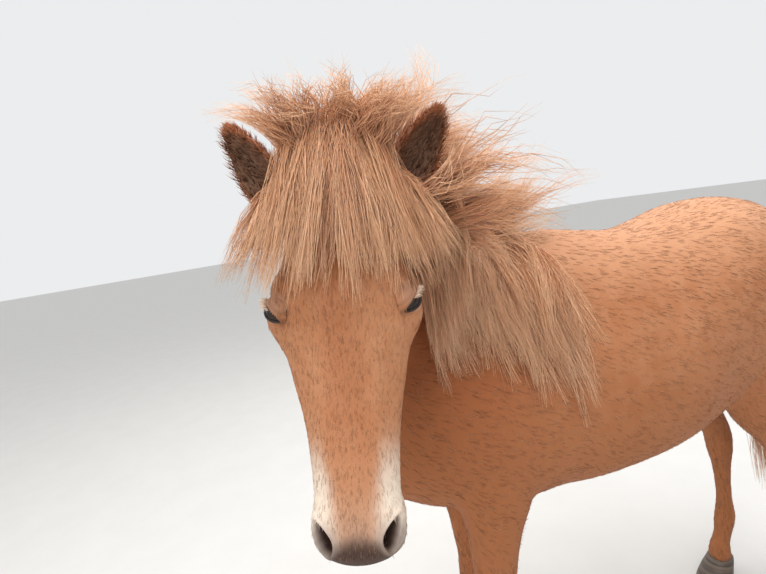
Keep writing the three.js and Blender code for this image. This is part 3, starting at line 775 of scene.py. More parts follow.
def make_skin(look):
    bm = bmesh.new()
    fine = bmesh.new()
    head_tube().add_to(fine, 180, 120)
    tube_tree = BVHTree.FromBMesh(fine)
    fine.free()
    torso_tube().add_to(bm, 90, 72)
    neck_tube().add_to(bm, 50, 56)
    head_tube().add_to(bm, 90, 64)
    for name in LEGS:
        leg_tube(name).add_to(bm, 90, 36)
    dock_tube().add_to(bm, 24, 24)
    bmesh.ops.recalc_face_normals(bm, faces=bm.faces)
    piece = new_piece("skin", bm, skin_material(look))
    remesh = piece.modifiers.new("one_surface", "REMESH")
    remesh.mode = "VOXEL"
    remesh.voxel_size = look.skin_step
    mesh = baked(piece)
    bm = bmesh.new()
    bm.from_mesh(mesh)
    for _ in range(3):
        relax(bm, bm.verts)

    def refine(test):
        """The faces whose middle passes the test, split in four and relaxed."""
        co = in_head(np.array([f.calc_center_median() for f in bm.faces]))
        chosen = [f for f, yes in zip(list(bm.faces), test(co)) if yes]
        edges = list({e for f in chosen for e in f.edges})
        made = bmesh.ops.subdivide_edges(bm, edges=edges, cuts=1, use_grid_fill=True)
        relax(bm, [g for g in made["geom_inner"] if isinstance(g, bmesh.types.BMVert)])

    def features(p):
        """Eyes, nostrils and the line of the lips."""
        x, y, z = folded(p).T
        eye = (np.linalg.norm(folded(p) - np.array(EYE_AT), axis=1) < 44) & (x > 62)
        nostril = np.linalg.norm(folded(p) - np.array(NOSTRIL_AT), axis=1) < 36
        return eye | nostril | ((np.abs(y - LIP_LINE) < 16) & (z < -442) & (z > HEAD_END) & (x < 90))

    for top, back in ((-50, 160), (-135, 115)):
        refine(lambda p: (p[:, 2] < top) & (p[:, 2] > HEAD_END) & (np.abs(p[:, 0]) < 125) & (p[:, 1] < back))
    snapped(bm, tube_tree)
    refine(features)
    bare = sculpt_head(bm)
    bmesh.ops.triangulate(bm, faces=[f for f in bm.faces if len(f.verts) > 4])
    bm.to_mesh(mesh)
    bm.free()
    point_attribute(mesh, "bare", bare)
    mesh.polygons.foreach_set("use_smooth", [True] * len(mesh.polygons))
    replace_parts(piece, "torso", "neck", "head", *["leg_" + name for name in LEGS])


def skin_tree():
    mesh = bpy.data.objects["skin"].data
    verts = [v.co.copy() for v in mesh.vertices]
    faces = [tuple(p.vertices) for p in mesh.polygons]
    return BVHTree.FromPolygons(verts, faces)


def make_eyes(look):
    _, length, across = eye_axes()
    glass = eye_material(look)
    for side, sign in (("left", 1), ("right", -1)):
        bm = bmesh.new()
        bmesh.ops.create_uvsphere(bm, u_segments=48, v_segments=32, radius=EYE_RADIUS)
        flip = np.array([sign, 1, 1])
        at = HEAD @ Vector(np.array(EYE_AT) * flip)
        for v in bm.verts:
            v.co = (at + v.co) * MM
        piece = new_piece("eyeball_" + side, bm, glass)
        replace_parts(piece, "eye_" + side)
    bm = bmesh.new()
    for sign in (1, -1):
        flip = np.array([sign, 1, 1])

        def rim(u, v):
            t, w = u * 2 * math.pi, v * 2 * math.pi
            a = LID_LENGTH * np.cos(t)
            b = lid_half(a) * np.sign(np.sin(t)) * 1.04
            outward = on_ball(a, b)
            over = np.sign(np.sin(t)) * np.abs(np.sin(t)) ** 0.5
            plane = unit(length * (a / LID_LENGTH)[:, None] + across * over[:, None])
            ball = np.array(EYE_AT) + outward * (EYE_RADIUS + 1.0)
            points = ball + outward * (1.5 * np.cos(w))[:, None] + plane * (1.7 * np.sin(w))[:, None]
            return moved(HEAD, points * flip) * MM

        bent_grid(bm, 72, 8, rim)
    bmesh.ops.recalc_face_normals(bm, faces=bm.faces)
    new_piece("eyelid_rims", bm, lid_material(look))


# Hair


def strands_mesh(name, lines, widths, flats, material, slot, tone, thick=0.45):
    """Closed tapered strands of three sides, joined in one mesh. lines: strands x points x 3, metres."""
    count, points = lines.shape[:2]
    along = np.empty_like(lines)
    along[:, 1:-1] = lines[:, 2:] - lines[:, :-2]
    along[:, 0] = lines[:, 1] - lines[:, 0]
    along[:, -1] = lines[:, -1] - lines[:, -2]
    along = unit(along)
    side = unit(np.cross(along, flats))
    up = np.cross(side, along)
    w = widths[..., None]
    side = side * np.sign(thick)
    corners = np.stack([lines + side * w, lines - side * w, lines + up * w * thick * 2], axis=2)
    verts = corners.reshape(-1, 3)
    base = (np.arange(count) * points * 3)[:, None]
    rows = []
    for i in range(points - 1):
        for k in range(3):
            a, b = i * 3 + k, i * 3 + (k + 1) % 3
            rows.append([a, b, b + 3, a + 3])
    quads = (base[:, None, :] + np.array(rows)[None]).reshape(-1, 4)
    last = (points - 1) * 3
    caps = np.array([[2, 1, 0], [last, last + 1, last + 2]])
    tris = (base[:, None, :] + caps[None]).reshape(-1, 3)
    mesh = bpy.data.meshes.new(name)
    mesh.vertices.add(len(verts))
    mesh.vertices.foreach_set("co", verts.astype(np.float32).ravel())
    loops = np.concatenate([quads.ravel(), tris.ravel()]).astype(np.int32)
    starts = [np.arange(len(quads)) * 4, quads.size + np.arange(len(tris)) * 3]
    starts = np.concatenate(starts).astype(np.int32)
    mesh.loops.add(len(loops))
    mesh.loops.foreach_set("vertex_index", loops)
    mesh.polygons.add(len(starts))
    mesh.polygons.foreach_set("loop_start", starts)
    mesh.update(calc_edges=True)
    grow = np.tile(np.repeat(np.linspace(0, 1, points), 3), count)
    point_attribute(mesh, "along", grow)
    point_attribute(mesh, "tone", np.repeat(tone, points * 3))
    # Each strand has its own small patch, at its root's place in a side view of the box with one half of
    # the body beside the other. It is no unwrap of the skin's own shape.
    root = lines[:, 0]
    size = np.array(CAD_BOX[1]) - np.array(CAD_BOX[0])
    share = (root - np.array(CAD_BOX[0])) / size
    u = 0.02 + 0.95 * (share[:, 1] * 0.5 + np.where(share[:, 0] > 0.5, 0.5, 0.0))
    v = 0.02 + 0.95 * share[:, 2]
    patch = np.stack([u, v], axis=1)
    local = np.tile([[0, 0], [PATCH, 0], [PATCH / 2, PATCH]], (points, 1))
    local[:, 1] = np.repeat(np.linspace(0, PATCH, points), 3)
    uv = (patch[:, None] + local[None]).reshape(-1, 2)
    layer = mesh.uv_layers.new(name="OFBake")
    layer.data.foreach_set("uv", uv[loops].astype(np.float32).ravel())
    return finish_piece(name, mesh, material)


def curve_points(root, over, tip, u):
    """A cubic curve from the root, over a high point, to the tip."""
    third = over * 0.45 + tip * 0.55
    u = u[:, None]
    return (1 - u) ** 3 * root + 3 * u * (1 - u) ** 2 * over + 3 * u**2 * (1 - u) * third + u**3 * tip


def draped(path, tree, clear):
    """The path kept outside the skin, further out towards its tip. Metres."""
    out = path.copy()
    ways = np.zeros_like(path)
    for i in range(len(path)):
        u = i / (len(path) - 1)
        p = Vector(out[i])
        at, normal, _, distance = tree.find_nearest(p)
        way = p - at
        if way.dot(normal) < 0:
            distance = -distance
        short = HAIR_CLEAR + (clear - HAIR_CLEAR) * u - distance
        if i > 0 and short > 0:
            p = p + normal * short
        out[i] = p
        ways[i] = normal
    return out, ways


def bundle(random, guide, ways, strands, radius, spread, frizz, width):
    """Strands around one guide, drawn together (spread below 0) or spread apart towards its tip."""
    points = len(guide)
    u = np.linspace(0, 1, points)
    along = unit(np.gradient(guide, axis=0))
    side = unit(np.cross(along, ways))
    out = unit(np.cross(side, along))
    angle = random.uniform(0, 2 * np.pi, strands)
    far = np.sqrt(random.uniform(0, 1, strands)) * radius
    shape = (1 - 0.45 * u) * (1 + spread * u)
    dx = (np.cos(angle) * far)[:, None] * shape
    dy = (np.sin(angle) * far * 0.55)[:, None] * shape
    waves = random.uniform(4, 11, (strands, 2))
    phase = random.uniform(0, 6.28, (strands, 2))
    wob = frizz * u[None] ** 0.8
    sway = np.sin(u * random.uniform(3, 8) + random.uniform(0, 6.28)) * u * radius * 0.9
    dx = dx + sway[None]
    dx = dx + np.sin(u[None] * waves[:, :1] + phase[:, :1]) * wob
    dy = dy + np.sin(u[None] * waves[:, 1:] + phase[:, 1:]) * wob * 0.8
    reach = random.uniform(0.72, 1.08, strands)
    # Shorter strands stop earlier on the guide
    where = np.clip(u[None] * reach[:, None], 0, 1) * (points - 1)
    low = np.minimum(where.astype(int), points - 2)
    part = (where - low)[..., None]
    take = lambda a: a[low] * (1 - part) + a[low + 1] * part
    lines = take(guide) + take(side) * dx[..., None] + take(out) * dy[..., None]
    beyond = np.maximum(u[None] * reach[:, None] - 1, 0)[..., None]
    lines = lines + take(along) * beyond * 0.2
    profile = np.minimum(1, 0.55 + u * 2) * (1 - 0.85 * u**2.2)
    widths = width * random.uniform(0.6, 1.25, strands)[:, None] * profile[None]
    flats = take(out) + random.normal(0, 0.35, lines.shape)
    return lines, widths, flats


EAR_ROOT, EAR_MIDDLE, EAR_TIP = (82, 52, -40), (126, 46, 39), (162, 43, 105)


def bares_ears(lines):
    """Which strands leave the ears free, as seen from the photograph's viewpoint alone."""
    eye_point = np.array(HEAD.inverted() @ (VIEW_FROM / MM + SHIFT))
    p = moved(HEAD.inverted(), lines.reshape(-1, 3) / MM)
    free = np.ones(len(lines), bool)

    def flat(points):
        ray = points - eye_point
        return ray[..., [0, 2]] / ray[..., 1:2] * -eye_point[1], ray[..., 1]

    seen, depth = flat(p)
    for sign in (1, -1):
        line = np.array([EAR_ROOT, EAR_MIDDLE, EAR_TIP], float) * [sign, 1, 1]
        (low, _, high), deep = flat(line)
        axis = high - low
        length = np.linalg.norm(axis)
        along = (seen - low) @ axis / length**2
        off = np.abs((seen - low) @ np.array([-axis[1], axis[0]]) / length)
        wide = 44 * np.interp(along, [0.28, 0.42, 0.7, 1.0, 1.12], [0, 0.75, 0.9, 0.5, 0])
        hit = (off < wide) & (depth < deep[1] + 34)
        free &= ~hit.reshape(len(lines), -1).any(1)
    return free


def gather(name, bundles, look, random):
    """The bundles' strands in pieces of a limited size, without those that hide an ear."""
    material = hair_material(look)
    most = MOST_STRANDS[name]
    lines, widths, flats = (np.concatenate([b[k] for b in bundles]) for k in range(3))
    tones = np.concatenate([np.full(len(b[0]), b[3]) for b in bundles])
    tones = np.clip(tones + random.normal(0, 0.16, len(tones)), 0, 1)
    free = bares_ears(lines)
    lines, widths, flats, tones = lines[free], widths[free], flats[free], tones[free]
    order = random.permutation(len(lines))
    pieces = []
    for k in range(math.ceil(len(lines) / most)):
        pick = order[k * most : (k + 1) * most]
        parts = lines[pick], widths[pick], flats[pick], material, "hair", tones[pick]
        pieces.append(strands_mesh(f"{name}_{k + 1}", *parts))
    return pieces


def on_head(*points):
    return [np.array(HEAD @ Vector(p)) * MM for p in points]


def forelock_bundles(random, tree, look):
    made = []
    u = np.linspace(0, 1, 6)
    for _ in range(look.forelock_locks):
        layer = random.uniform()
        rise = 80 + 190 * layer
        clear = (5 + 46 * layer) * MM
        far = (0.88 + 0.2 * layer) * random.uniform(0.72, 1.12)
        turn = random.uniform(-1.85, 1.85)
        side = abs(turn) / 1.85
        tip_x = 160 * math.sin(turn) * far + random.uniform(-18, 18)
        tip_z = (-172 + 62 * side) * far + random.uniform(-18, 16)
        front = max(0.0, math.cos(turn))
        root = (30 * math.sin(turn) + random.uniform(-14, 14), 44 - 26 * front + random.uniform(-8, 12), -4)
        over_x = tip_x * 0.46 + random.uniform(-18, 18)
        over = (over_x, 34 - 72 * front, rise * (1 - 0.55 * side) * random.uniform(0.8, 1.1))
        tip = (tip_x, 34 - 62 * front, tip_z)
        path, ways = draped(curve_points(*on_head(root, over, tip), u), tree, clear)
        hairs = bundle(random, path, ways, look.forelock_strands, 0.015, -0.35, 0.007, 0.0009)
        made.append((*hairs, random.uniform()))
    for _ in range(look.poll_tufts):
        across = random.uniform(-1, 1)
        high = random.uniform(92, 158) * (1 - 0.3 * across * across)
        root = (40 * across, random.uniform(-16, 60), 2)
        lean = random.uniform(-1, 0.6)
        over = (76 * across + random.uniform(-10, 20), 20 + 62 * lean, high * (0.66 + 0.1 * abs(lean)))
        tip = (165 * across + random.uniform(-30, 40), 10 + 92 * lean, high * (1 - 0.34 * lean * lean))
        path, ways = draped(curve_points(*on_head(root, over, tip), u), tree, 0.006)
        hairs = bundle(random, path, ways, look.forelock_strands * 3 // 4, 0.018, 0.7, 0.012, 0.0008)
        made.append((*hairs, random.uniform(0.3, 1)))
    return made


def mane_bundles(random, tree, look):
    neck = neck_tube()
    made = []
    u = np.linspace(0, 1, 7)

    def rooted(t, lean):
        root = neck.surface(np.array([t]), np.array([math.pi / 2 + lean]), -5)[0]
        _, along, top, side = (a[0] for a in neck.frames(np.array([t])))
        return root, along, top, side if side[0] > 0 else -side

    for _ in range(look.mane_locks):
        layer = random.uniform()
        share = random.uniform(0.13, 0.88)
        root, _, top, side = rooted(share * 6.0, random.uniform(-0.16, 0.26))
        wide = 78 + 56 * layer
        clear = (6 + 46 * layer) * MM
        over = root + top * (40 + 115 * layer) * random.uniform(0.8, 1.25) + side * wide * 0.5
        tip = root + side * wide * random.uniform(0.85, 1.25)
        tip[2] -= (300 - 130 * layer) * random.uniform(0.7, 1.12)
        tip[1] += (150 * (1 - share) ** 2 + 16 * layer) * random.uniform(0.65, 1.15)
        path, ways = draped(curve_points(root * MM, over * MM, tip * MM, u), tree, clear)
        hairs = bundle(random, path, ways, look.mane_strands, 0.02, -0.3, 0.008, 0.0011)
        made.append((*hairs, random.uniform()))
    for _ in range(look.mane_tufts):
        t = random.uniform(0.14, 1.0) ** 0.8 * 6.0
        root, along, top, side = rooted(t, random.uniform(-0.3, 0.25))
        high = random.uniform(165, 286)
        over = root + top * high * 0.62 + side * random.uniform(-10, 50)
        tip = root + top * high + side * random.uniform(-60, 110) + along * random.uniform(-40, 40)
        tip[2] -= random.uniform(-15, 90)
        tip[1] += random.uniform(-10, 60)
        path, ways = draped(curve_points(root * MM, over * MM, tip * MM, u), tree, 0.006)
        hairs = bundle(random, path, ways, look.mane_strands * 3 // 4, 0.018, 1.4, 0.016, 0.0009)
        made.append((*hairs, random.uniform(0.3, 1)))
    return made


def tail_bundles(random, look):
    dock = dock_tube()
    made = []
    u = np.linspace(0, 1, 7)
    for _ in range(look.tail_locks):
        t = random.uniform(0.28, 1.0) * dock.last
        turn = random.uniform(-2.7, 2.7)
        sideways, backward = math.sin(turn), math.cos(turn)
        centre = moved(BODY, smooth_rows(dock.rows, np.array([t]))[:, :3])[0]
        root = centre + np.array([sideways * 16, backward * 16, 0])
        over = root + np.array([sideways * 56, backward * 40 + 12, -50])
        foot = moved(BODY, np.array([[0.0, 1004.0, 0.0]]))[0]
        aside, behind = sideways * random.uniform(14, 70), backward * random.uniform(6, 50)
        tip = foot + np.array([aside, behind, random.uniform(300, 560)])
        path = curve_points(root * MM, over * MM, tip * MM, u)
        ways = np.tile(unit(np.array([sideways, backward, 0.1])), (len(u), 1))
        hairs = bundle(random, path, ways, look.tail_strands, 0.018, 0.25, 0.008, 0.0014)
        made.append((*hairs, random.uniform()))
    return made


def skin_samples(random, piece, count, weight):
    """Random places on the skin, with the way out of it."""
    mesh = piece.data
    mesh.calc_loop_triangles()
    tri = np.empty(len(mesh.loop_triangles) * 3, np.int32)
    mesh.loop_triangles.foreach_get("vertices", tri)
    tri = tri.reshape(-1, 3)
    co, normals = vertex_values(mesh, "co"), vertex_values(mesh, "normal")
    a, b, c = (co[tri[:, k]] for k in range(3))
    area = np.linalg.norm(np.cross(b - a, c - a), axis=1) * weight((a + b + c) / 3)
    pick = random.choice(len(tri), count, p=area / area.sum())
    r = random.uniform(0, 1, (count, 2))
    r = np.where(r.sum(1, keepdims=True) > 1, 1 - r, r)
    at = a[pick] + (b[pick] - a[pick]) * r[:, :1] + (c[pick] - a[pick]) * r[:, 1:]
    return at, unit(normals[tri[pick]].mean(1))


def lie_of_coat(at):
    """Which way the coat lies at each place: back along the body, down the legs, down the face."""
    head = in_head(at)
    down_face = turned(HEAD, np.tile([0.0, 0.12, -1.0], (len(at), 1)))
    body = np.tile([0.0, 0.75, -0.45], (len(at), 1))
    leg = np.tile([0.0, 0.12, -1.0], (len(at), 1))
    low = np.clip((0.72 - at[:, 2]) / 0.12, 0, 1)[:, None]
    way = body * (1 - low) + leg * low
    near = np.clip((210 - np.linalg.norm(head * [1, 0.8, 0] - [0, 50, 0], axis=1)) / 60, 0, 1)
    near = (near * (head[:, 2] < 20) * (head[:, 2] > HEAD_END - 20))[:, None]
    return unit(way * (1 - near) + down_face * near), near[:, 0]


def make_fur(look, skin, random):
    """Short tufts lying along the coat: three points each, finest on the face."""
    fur = fur_material(look)
    groups = {
        "coat_fore": (look.body_tufts, lambda p: (p[:, 2] > 0.55) * (p[:, 1] < 0.1), (0.013, 0.024), 0.0006),
        "coat_rear": (look.body_tufts, lambda p: (p[:, 2] > 0.55) * (p[:, 1] >= 0.1), (0.013, 0.024), 0.0007),
        "coat_legs": (look.body_tufts // 2, lambda p: (p[:, 2] <= 0.55) * 1.0, (0.010, 0.022), 0.0007),
        "coat_head": (look.head_tufts, in_near, (0.005, 0.010), 0.0004),
    }
    for name, (count, weight, (short, long), width) in groups.items():
        at, out = skin_samples(random, skin, count, weight)
        lie, near = lie_of_coat(at)
        h = in_head(at)
        eye_far = np.linalg.norm(folded(h) - np.array([102, 2, -188]), axis=1)
        nose_far = np.linalg.norm(folded(h) - np.array([44, 8, -488]), axis=1)
        keep = (eye_far > 19) & (nose_far > 21) & ((h[:, 2] > -512) | (near < 0.5))
        if name != "coat_head":
            keep &= near < 0.6
        at, out, lie = at[keep], out[keep], lie[keep]
        lie = unit(lie + random.normal(0, 0.14, lie.shape))
        lie = unit(lie - out * (lie * out).sum(1, keepdims=True))
        size = random.uniform(short, long, len(at))[:, None]
        lift = random.uniform(0.03, 0.08, len(at))[:, None]
        steps = ((0.0, -0.04), (0.5, 0.8), (1.0, 1.0))
        lines = np.stack([at + lie * size * a + out * size * lift * b for a, b in steps], axis=1)
        widths = width * random.uniform(0.7, 1.3, len(at))[:, None] * np.array([0.9, 0.9, 0.12])[None]
        flats = np.repeat(out[:, None], 3, axis=1)
        tones = random.uniform(0, 1, len(at))
        strands_mesh(name, lines, widths, flats, fur, "coat", tones, -0.3)


def in_near(p):
    return (lie_of_coat(p)[1] > 0.5) * 1.0


def ear_front(sign):
    """The way an ear's cup opens, in the head's frame."""
    return np.array([0.35 * sign, -0.9, -0.1])


def ear_tube(sign):
    rows = [
        (*EAR_ROOT, 27, 24, 24),
        (95, 50, -15, 32, 27, 27),
        (110, 48, 11, 35, 26, 25),
        (*EAR_MIDDLE, 33, 23, 23),
        (142, 44, 67, 26, 18, 18),
        (155, 43, 91, 15, 10, 10),
        (*EAR_TIP, 4.5, 3.8, 3.8),
    ]
    top = ear_front(sign)
    return Tube([(x * sign, y, z, s, up, d, 0, 2, *top) for x, y, z, s, up, d in rows], (), HEAD)


def make_ears(look, random):
    paint = Paint("ear_skin")
    colour, _ = coat_colour(paint, look)
    cup = paint.attribute("cup")
    fine = paint.noise(paint.place(), 60.0)
    colour = paint.mix(cup * 0.9, colour, look.ear_inside)
    paint.put(Base_Color=colour, Roughness=0.7, Normal=paint.bump(fine, 0.4, 0.002))
    hair = ear_hair_material(look)
    for side, sign in (("left", 1), ("right", -1)):
        bm = bmesh.new()
        tube = ear_tube(sign)
        tube.add_to(bm, 48, 48)
        bmesh.ops.recalc_face_normals(bm, faces=bm.faces)
        # The cup: the side that faces forward is pressed in
        p = in_head(coordinates(bm))
        rows = tube.rows
        u = np.clip(np.interp(p[:, 2], rows[:, 2], np.arange(len(rows))), 0, len(rows) - 1)
        r = smooth_rows(rows, u)
        top = unit(ear_front(sign))
        off = p - r[:, :3]
        height = off @ top / np.maximum(r[:, 4], 1)
        ax = unit(np.array([0.56 * sign, -0.08, 0.83]))
        sideways = off - np.outer(off @ top, top) - np.outer(off @ ax, ax)
        lateral = np.linalg.norm(sideways, axis=1) / np.maximum(r[:, 3], 1)
        edge = np.clip(1 - lateral**2, 0, 1)
        ends = np.clip((p[:, 2] + 20) / 20, 0, 1) * np.clip((96 - p[:, 2]) / 30, 0, 1)
        press = np.clip(height, 0, 1) * edge**0.6 * ends
        p = p - top * (press * r[:, 4] * 1.55)[:, None]
        for v, at in zip(bm.verts, moved(HEAD, p) * MM):
            v.co = at
        piece = new_piece("ear_skin_" + side, bm, paint.material)
        point_attribute(piece.data, "cup", np.clip(press * 2.2, 0, 1))
        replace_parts(piece, "ear_" + side)
        ear_hair(random, piece, press, side, sign, hair)


def ear_hair(random, piece, press, side, sign, hair):
    """Longer fuzz that fills the cup, and short hair on its rims and its back."""
    co, normals = vertex_values(piece.data, "co"), vertex_values(piece.data, "normal")
    pick = random.integers(0, len(co), 2600)
    at = co[pick] + random.normal(0, 0.0018, (len(pick), 3))
    out, cup = normals[pick], press[pick]
    up = unit(turned(HEAD, np.array([[0.5 * sign, -0.1, 0.86]])))[0]
    forward = unit(turned(HEAD, ear_front(sign)[None]))[0]
    inside = cup > 0.12
    way = np.where(inside[:, None], up * 0.7 + forward * 0.55 + out * 0.35, up + out * 0.22)
    way = unit(way + random.normal(0, 0.2, way.shape))
    long, short = random.uniform(0.012, 0.024, len(pick)), random.uniform(0.007, 0.013, len(pick))
    size = np.where(inside, long, short)[:, None]
    bend = unit(np.cross(way, random.normal(0, 1, way.shape))) * size * 0.15
    lines = np.stack([at - out * 0.001, at + way * size * 0.5 + bend, at + way * size], axis=1)
    widths = 0.0006 * random.uniform(0.7, 1.3, len(pick))[:, None] * np.array([1.0, 0.8, 0.12])[None]
    flats = np.repeat(out[:, None], 3, axis=1)
    tone = np.clip(1 - cup * 2.5, 0, 1) * 0.9
    strands_mesh("ear_hair_" + side, lines, widths, flats, hair, "hair", tone, 0.4)


def ear_hair_material(look):
    paint = Paint("ear_fuzz")
    tone = paint.attribute("tone")
    along = paint.attribute("along")
    colour = paint.mix(tone.smooth(0.1, 0.8), look.ear_inside, look.coat_red)
    colour = paint.mix(along.smooth(0.3, 1.0) * 0.35, colour, look.coat)
    paint.put(Base_Color=colour, Roughness=0.7, Specular_IOR_Level=0.2)
    return paint.material


def lash_lines(random, sign):
    """Lashes along the upper lid, pale and drooping."""
    length = eye_axes()[1]
    count = 80
    a = LID_LENGTH * (1 - random.uniform(0, 1, count) ** 1.5 * 1.3) * 0.96
    b = lid_half(a) * UPPER_SIDE * 1.2
    outward = on_ball(a, b)
    root = np.array(EYE_AT) + outward * (EYE_RADIUS + 1.4)
    way = unit(outward * 0.8 + length * 0.35 + np.array([0.25, 0, -0.1]) + random.normal(0, 0.1, (count, 3)))
    size = random.uniform(7, 14, count)[:, None]
    tip = root + way * size + np.array([0, 0, -1.0]) * size * 0.25
    lines = np.stack([root, root + way * size * 0.55, tip], axis=1)
    lines = lines * np.array([sign, 1, 1])
    return moved(HEAD, lines.reshape(-1, 3)).reshape(lines.shape) * MM


def make_lashes(look, random):
    paint = Paint("lashes")
    tone = paint.attribute("tone")
    paint.put(Base_Color=paint.mix(tone, look.coat_light, look.muzzle), Roughness=0.5)
    lines = np.concatenate([lash_lines(random, 1), lash_lines(random, -1)])
    widths = 0.0005 * random.uniform(0.6, 1.2, len(lines))[:, None] * np.array([1.0, 0.8, 0.15])[None]
    flats = np.tile(turned(HEAD, np.array([0.0, -1.0, 0.2])), (len(lines), 3, 1))
    strands_mesh("lashes", lines, widths, flats, paint.material, "hair", random.uniform(0, 1, len(lines)))


# Height, half width, reach forward, reach back, how far forward of the leg's foot
HOOF_ROWS = np.array(
    [
        (72, 36, 38, 38, 0),
        (62, 39, 42, 40, 4),
        (40, 44.6, 51.5, 42.4, 14.6),
        (22, 48, 58, 44, 22),
        (0, 52, 62, 46, 30),
    ]
)


def make_hooves(look):
    horn = horn_material(look)
    for name in LEGS:
        tube = leg_tube(name)
        foot = moved(BODY, smooth_rows(tube.rows, np.array([float(tube.last)]))[:, :3])[0]
        bm = bmesh.new()

        def wall(u, w):
            r = smooth_rows(HOOF_ROWS, u * (len(HOOF_ROWS) - 1))
            angle = w * 2 * math.pi
            s = np.sin(angle)
            reach = np.where(s > 0, r[:, 2], r[:, 3])
            x, y = foot[0] + np.cos(angle) * r[:, 1], foot[1] - r[:, 4] - s * reach + 4
            return np.column_stack([x, y, np.maximum(r[:, 0], 0)]) * MM

        bent_grid(bm, 24, 64, wall)
        fill_ends(bm)
        bmesh.ops.recalc_face_normals(bm, faces=bm.faces)
        piece = new_piece("hoof_wall_" + name, bm, horn)
        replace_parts(piece, "hoof_" + name)


def make_stage():
    bm = bmesh.new()
    bmesh.ops.create_grid(bm, x_segments=1, y_segments=1, size=40.0)
    mesh = bpy.data.meshes.new("floor")
    bm.to_mesh(mesh)
    bm.free()
    floor = bpy.data.objects.new("floor", mesh)
    mesh.materials.append(floor_material())
    bpy.context.scene.collection.objects.link(floor)
    scene = bpy.context.scene
    world = bpy.data.worlds.new("soft_sky")
    world.use_nodes = True
    sky = world.node_tree.nodes["Background"]
    sky.inputs[0].default_value = (0.93, 0.94, 0.95, 1)
    sky.inputs[1].default_value = 0.9
    scene.world = world
    for name, at, size, power, tint in (
        ("overcast", (0.3, -0.2, 4.4), 4.0, 150, (1.0, 0.98, 0.95)),
        ("front_fill", (2.6, -3.0, 2.1), 2.6, 42, (1.0, 0.97, 0.93)),
        ("back_fill", (-2.6, 2.2, 2.6), 2.6, 34, (0.95, 0.98, 1.0)),
    ):
        light = bpy.data.lights.new(name, "AREA")
        light.shape = "DISK"
        light.size = size
        light.energy = power
        light.color = tint
        lamp = bpy.data.objects.new(name, light)
        lamp.location = at
        aim = Vector((0.05, -0.3, 0.9)) - Vector(at)
        lamp.rotation_euler = aim.to_track_quat("-Z", "Y").to_euler()
        scene.collection.objects.link(lamp)
    scene.view_settings.view_transform = "Standard"
    yaw, pitch, roll = (math.radians(v) for v in VIEW_TURNS)
    right = Vector((math.cos(yaw), math.sin(yaw), 0))
    ahead = Vector((-math.sin(yaw), math.cos(yaw), 0))
    view = ahead * math.cos(pitch) - Vector((0, 0, 1)) * math.sin(pitch)
    up = Vector((0, 0, 1)) * math.cos(pitch) + ahead * math.sin(pitch)
    x = right * math.cos(roll) + up * math.sin(roll)
    y = up * math.cos(roll) - right * math.sin(roll)
    data = bpy.data.cameras.new("camera")
    data.sensor_width = SENSOR_WIDTH
    data.lens = FOCAL_LENGTH / PICTURE_WIDTH * SENSOR_WIDTH
    camera = bpy.data.objects.new("camera", data)
    camera.matrix_world = Matrix.Translation(VIEW_FROM + SHIFT * MM) @ Matrix(
        ((x[0], y[0], -view[0]), (x[1], y[1], -view[1]), (x[2], y[2], -view[2]))
    ).to_4x4()
    scene.collection.objects.link(camera)
    scene.camera = camera


# The add-on


def colour_property(name, description, value):
    kind = {"size": 3, "subtype": "COLOR", "min": 0, "max": 1}
    return FloatVectorProperty(name=name, description=description, default=value, **kind)


def count_property(name, description, value, least=1):
    return IntProperty(name=name, description=description, default=value, min=least)


class HorseLook(bpy.types.PropertyGroup):
    coat: colour_property("Coat", "Main colour of the short coat", (0.47, 0.205, 0.098))
    coat_deep: colour_property("Deep coat", "Shaded part of the coat", (0.33, 0.125, 0.05))
    coat_light: colour_property("Light coat", "Sunlit hairs of the coat", (0.58, 0.31, 0.18))
    coat_red: colour_property("Red coat", "Neck, breast and the stripe of the face", (0.31, 0.095, 0.034))
    muzzle: colour_property("Muzzle", "Pale sides of the muzzle", (0.84, 0.74, 0.62))
    nostril: colour_property("Nostril", "Grey skin round the nostrils", (0.27, 0.22, 0.20))
    lips: colour_property("Lips", "Dark skin of lips and lids", (0.026, 0.017, 0.015))
    hair_root: colour_property("Hair root", "Mane near its root", (0.42, 0.165, 0.07))
    hair_mid: colour_property("Hair", "Mane at mid length", (0.62, 0.275, 0.125))
    hair_tip: colour_property("Hair tip", "Pale ends of the mane", (0.84, 0.50, 0.29))
    eye: colour_property("Eye", "Dark of the eye", (0.008, 0.005, 0.004))
    iris: colour_property("Iris", "Brown of the eye", (0.03, 0.014, 0.008))
    ear_inside: colour_property("Ear inside", "Fuzz inside the ear", (0.16, 0.085, 0.052))
    horn_dark: colour_property("Hoof", "Dark horn", (0.05, 0.038, 0.03))
    horn_light: colour_property("Hoof streak", "Paler horn", (0.14, 0.105, 0.08))
    skin_step: FloatProperty(
        name="Skin step", description="Size of the skin's squares", default=0.0103, min=0.004, unit="LENGTH"
    )
    forelock_locks: count_property("Forelock locks", "Locks in the forelock", 230)
    poll_tufts: count_property("Poll tufts", "Tufts standing up at the poll", 110)
    forelock_strands: count_property("Forelock strands", "Strands in a lock", 36, 2)
    mane_locks: count_property("Mane locks", "Locks in the mane", 250)
    mane_tufts: count_property("Mane tufts", "Tufts standing up along the crest", 140)
    mane_strands: count_property("Mane strands", "Strands in a lock", 36, 2)
    tail_locks: count_property("Tail locks", "Locks in the tail", 110)
    tail_strands: count_property("Tail strands", "Strands in a lock", 28, 2)
    body_tufts: count_property("Body tufts", "Tufts on half the body", 9500)
    head_tufts: count_property("Head tufts", "Tufts on the head", 13500)


def random_of(group):
    return np.random.default_rng(SEEDS[group])


class Maker:
    """What the operators share."""

    def execute(self, context):
        self.make(context.scene.horse_look)
        return {"FINISHED"}


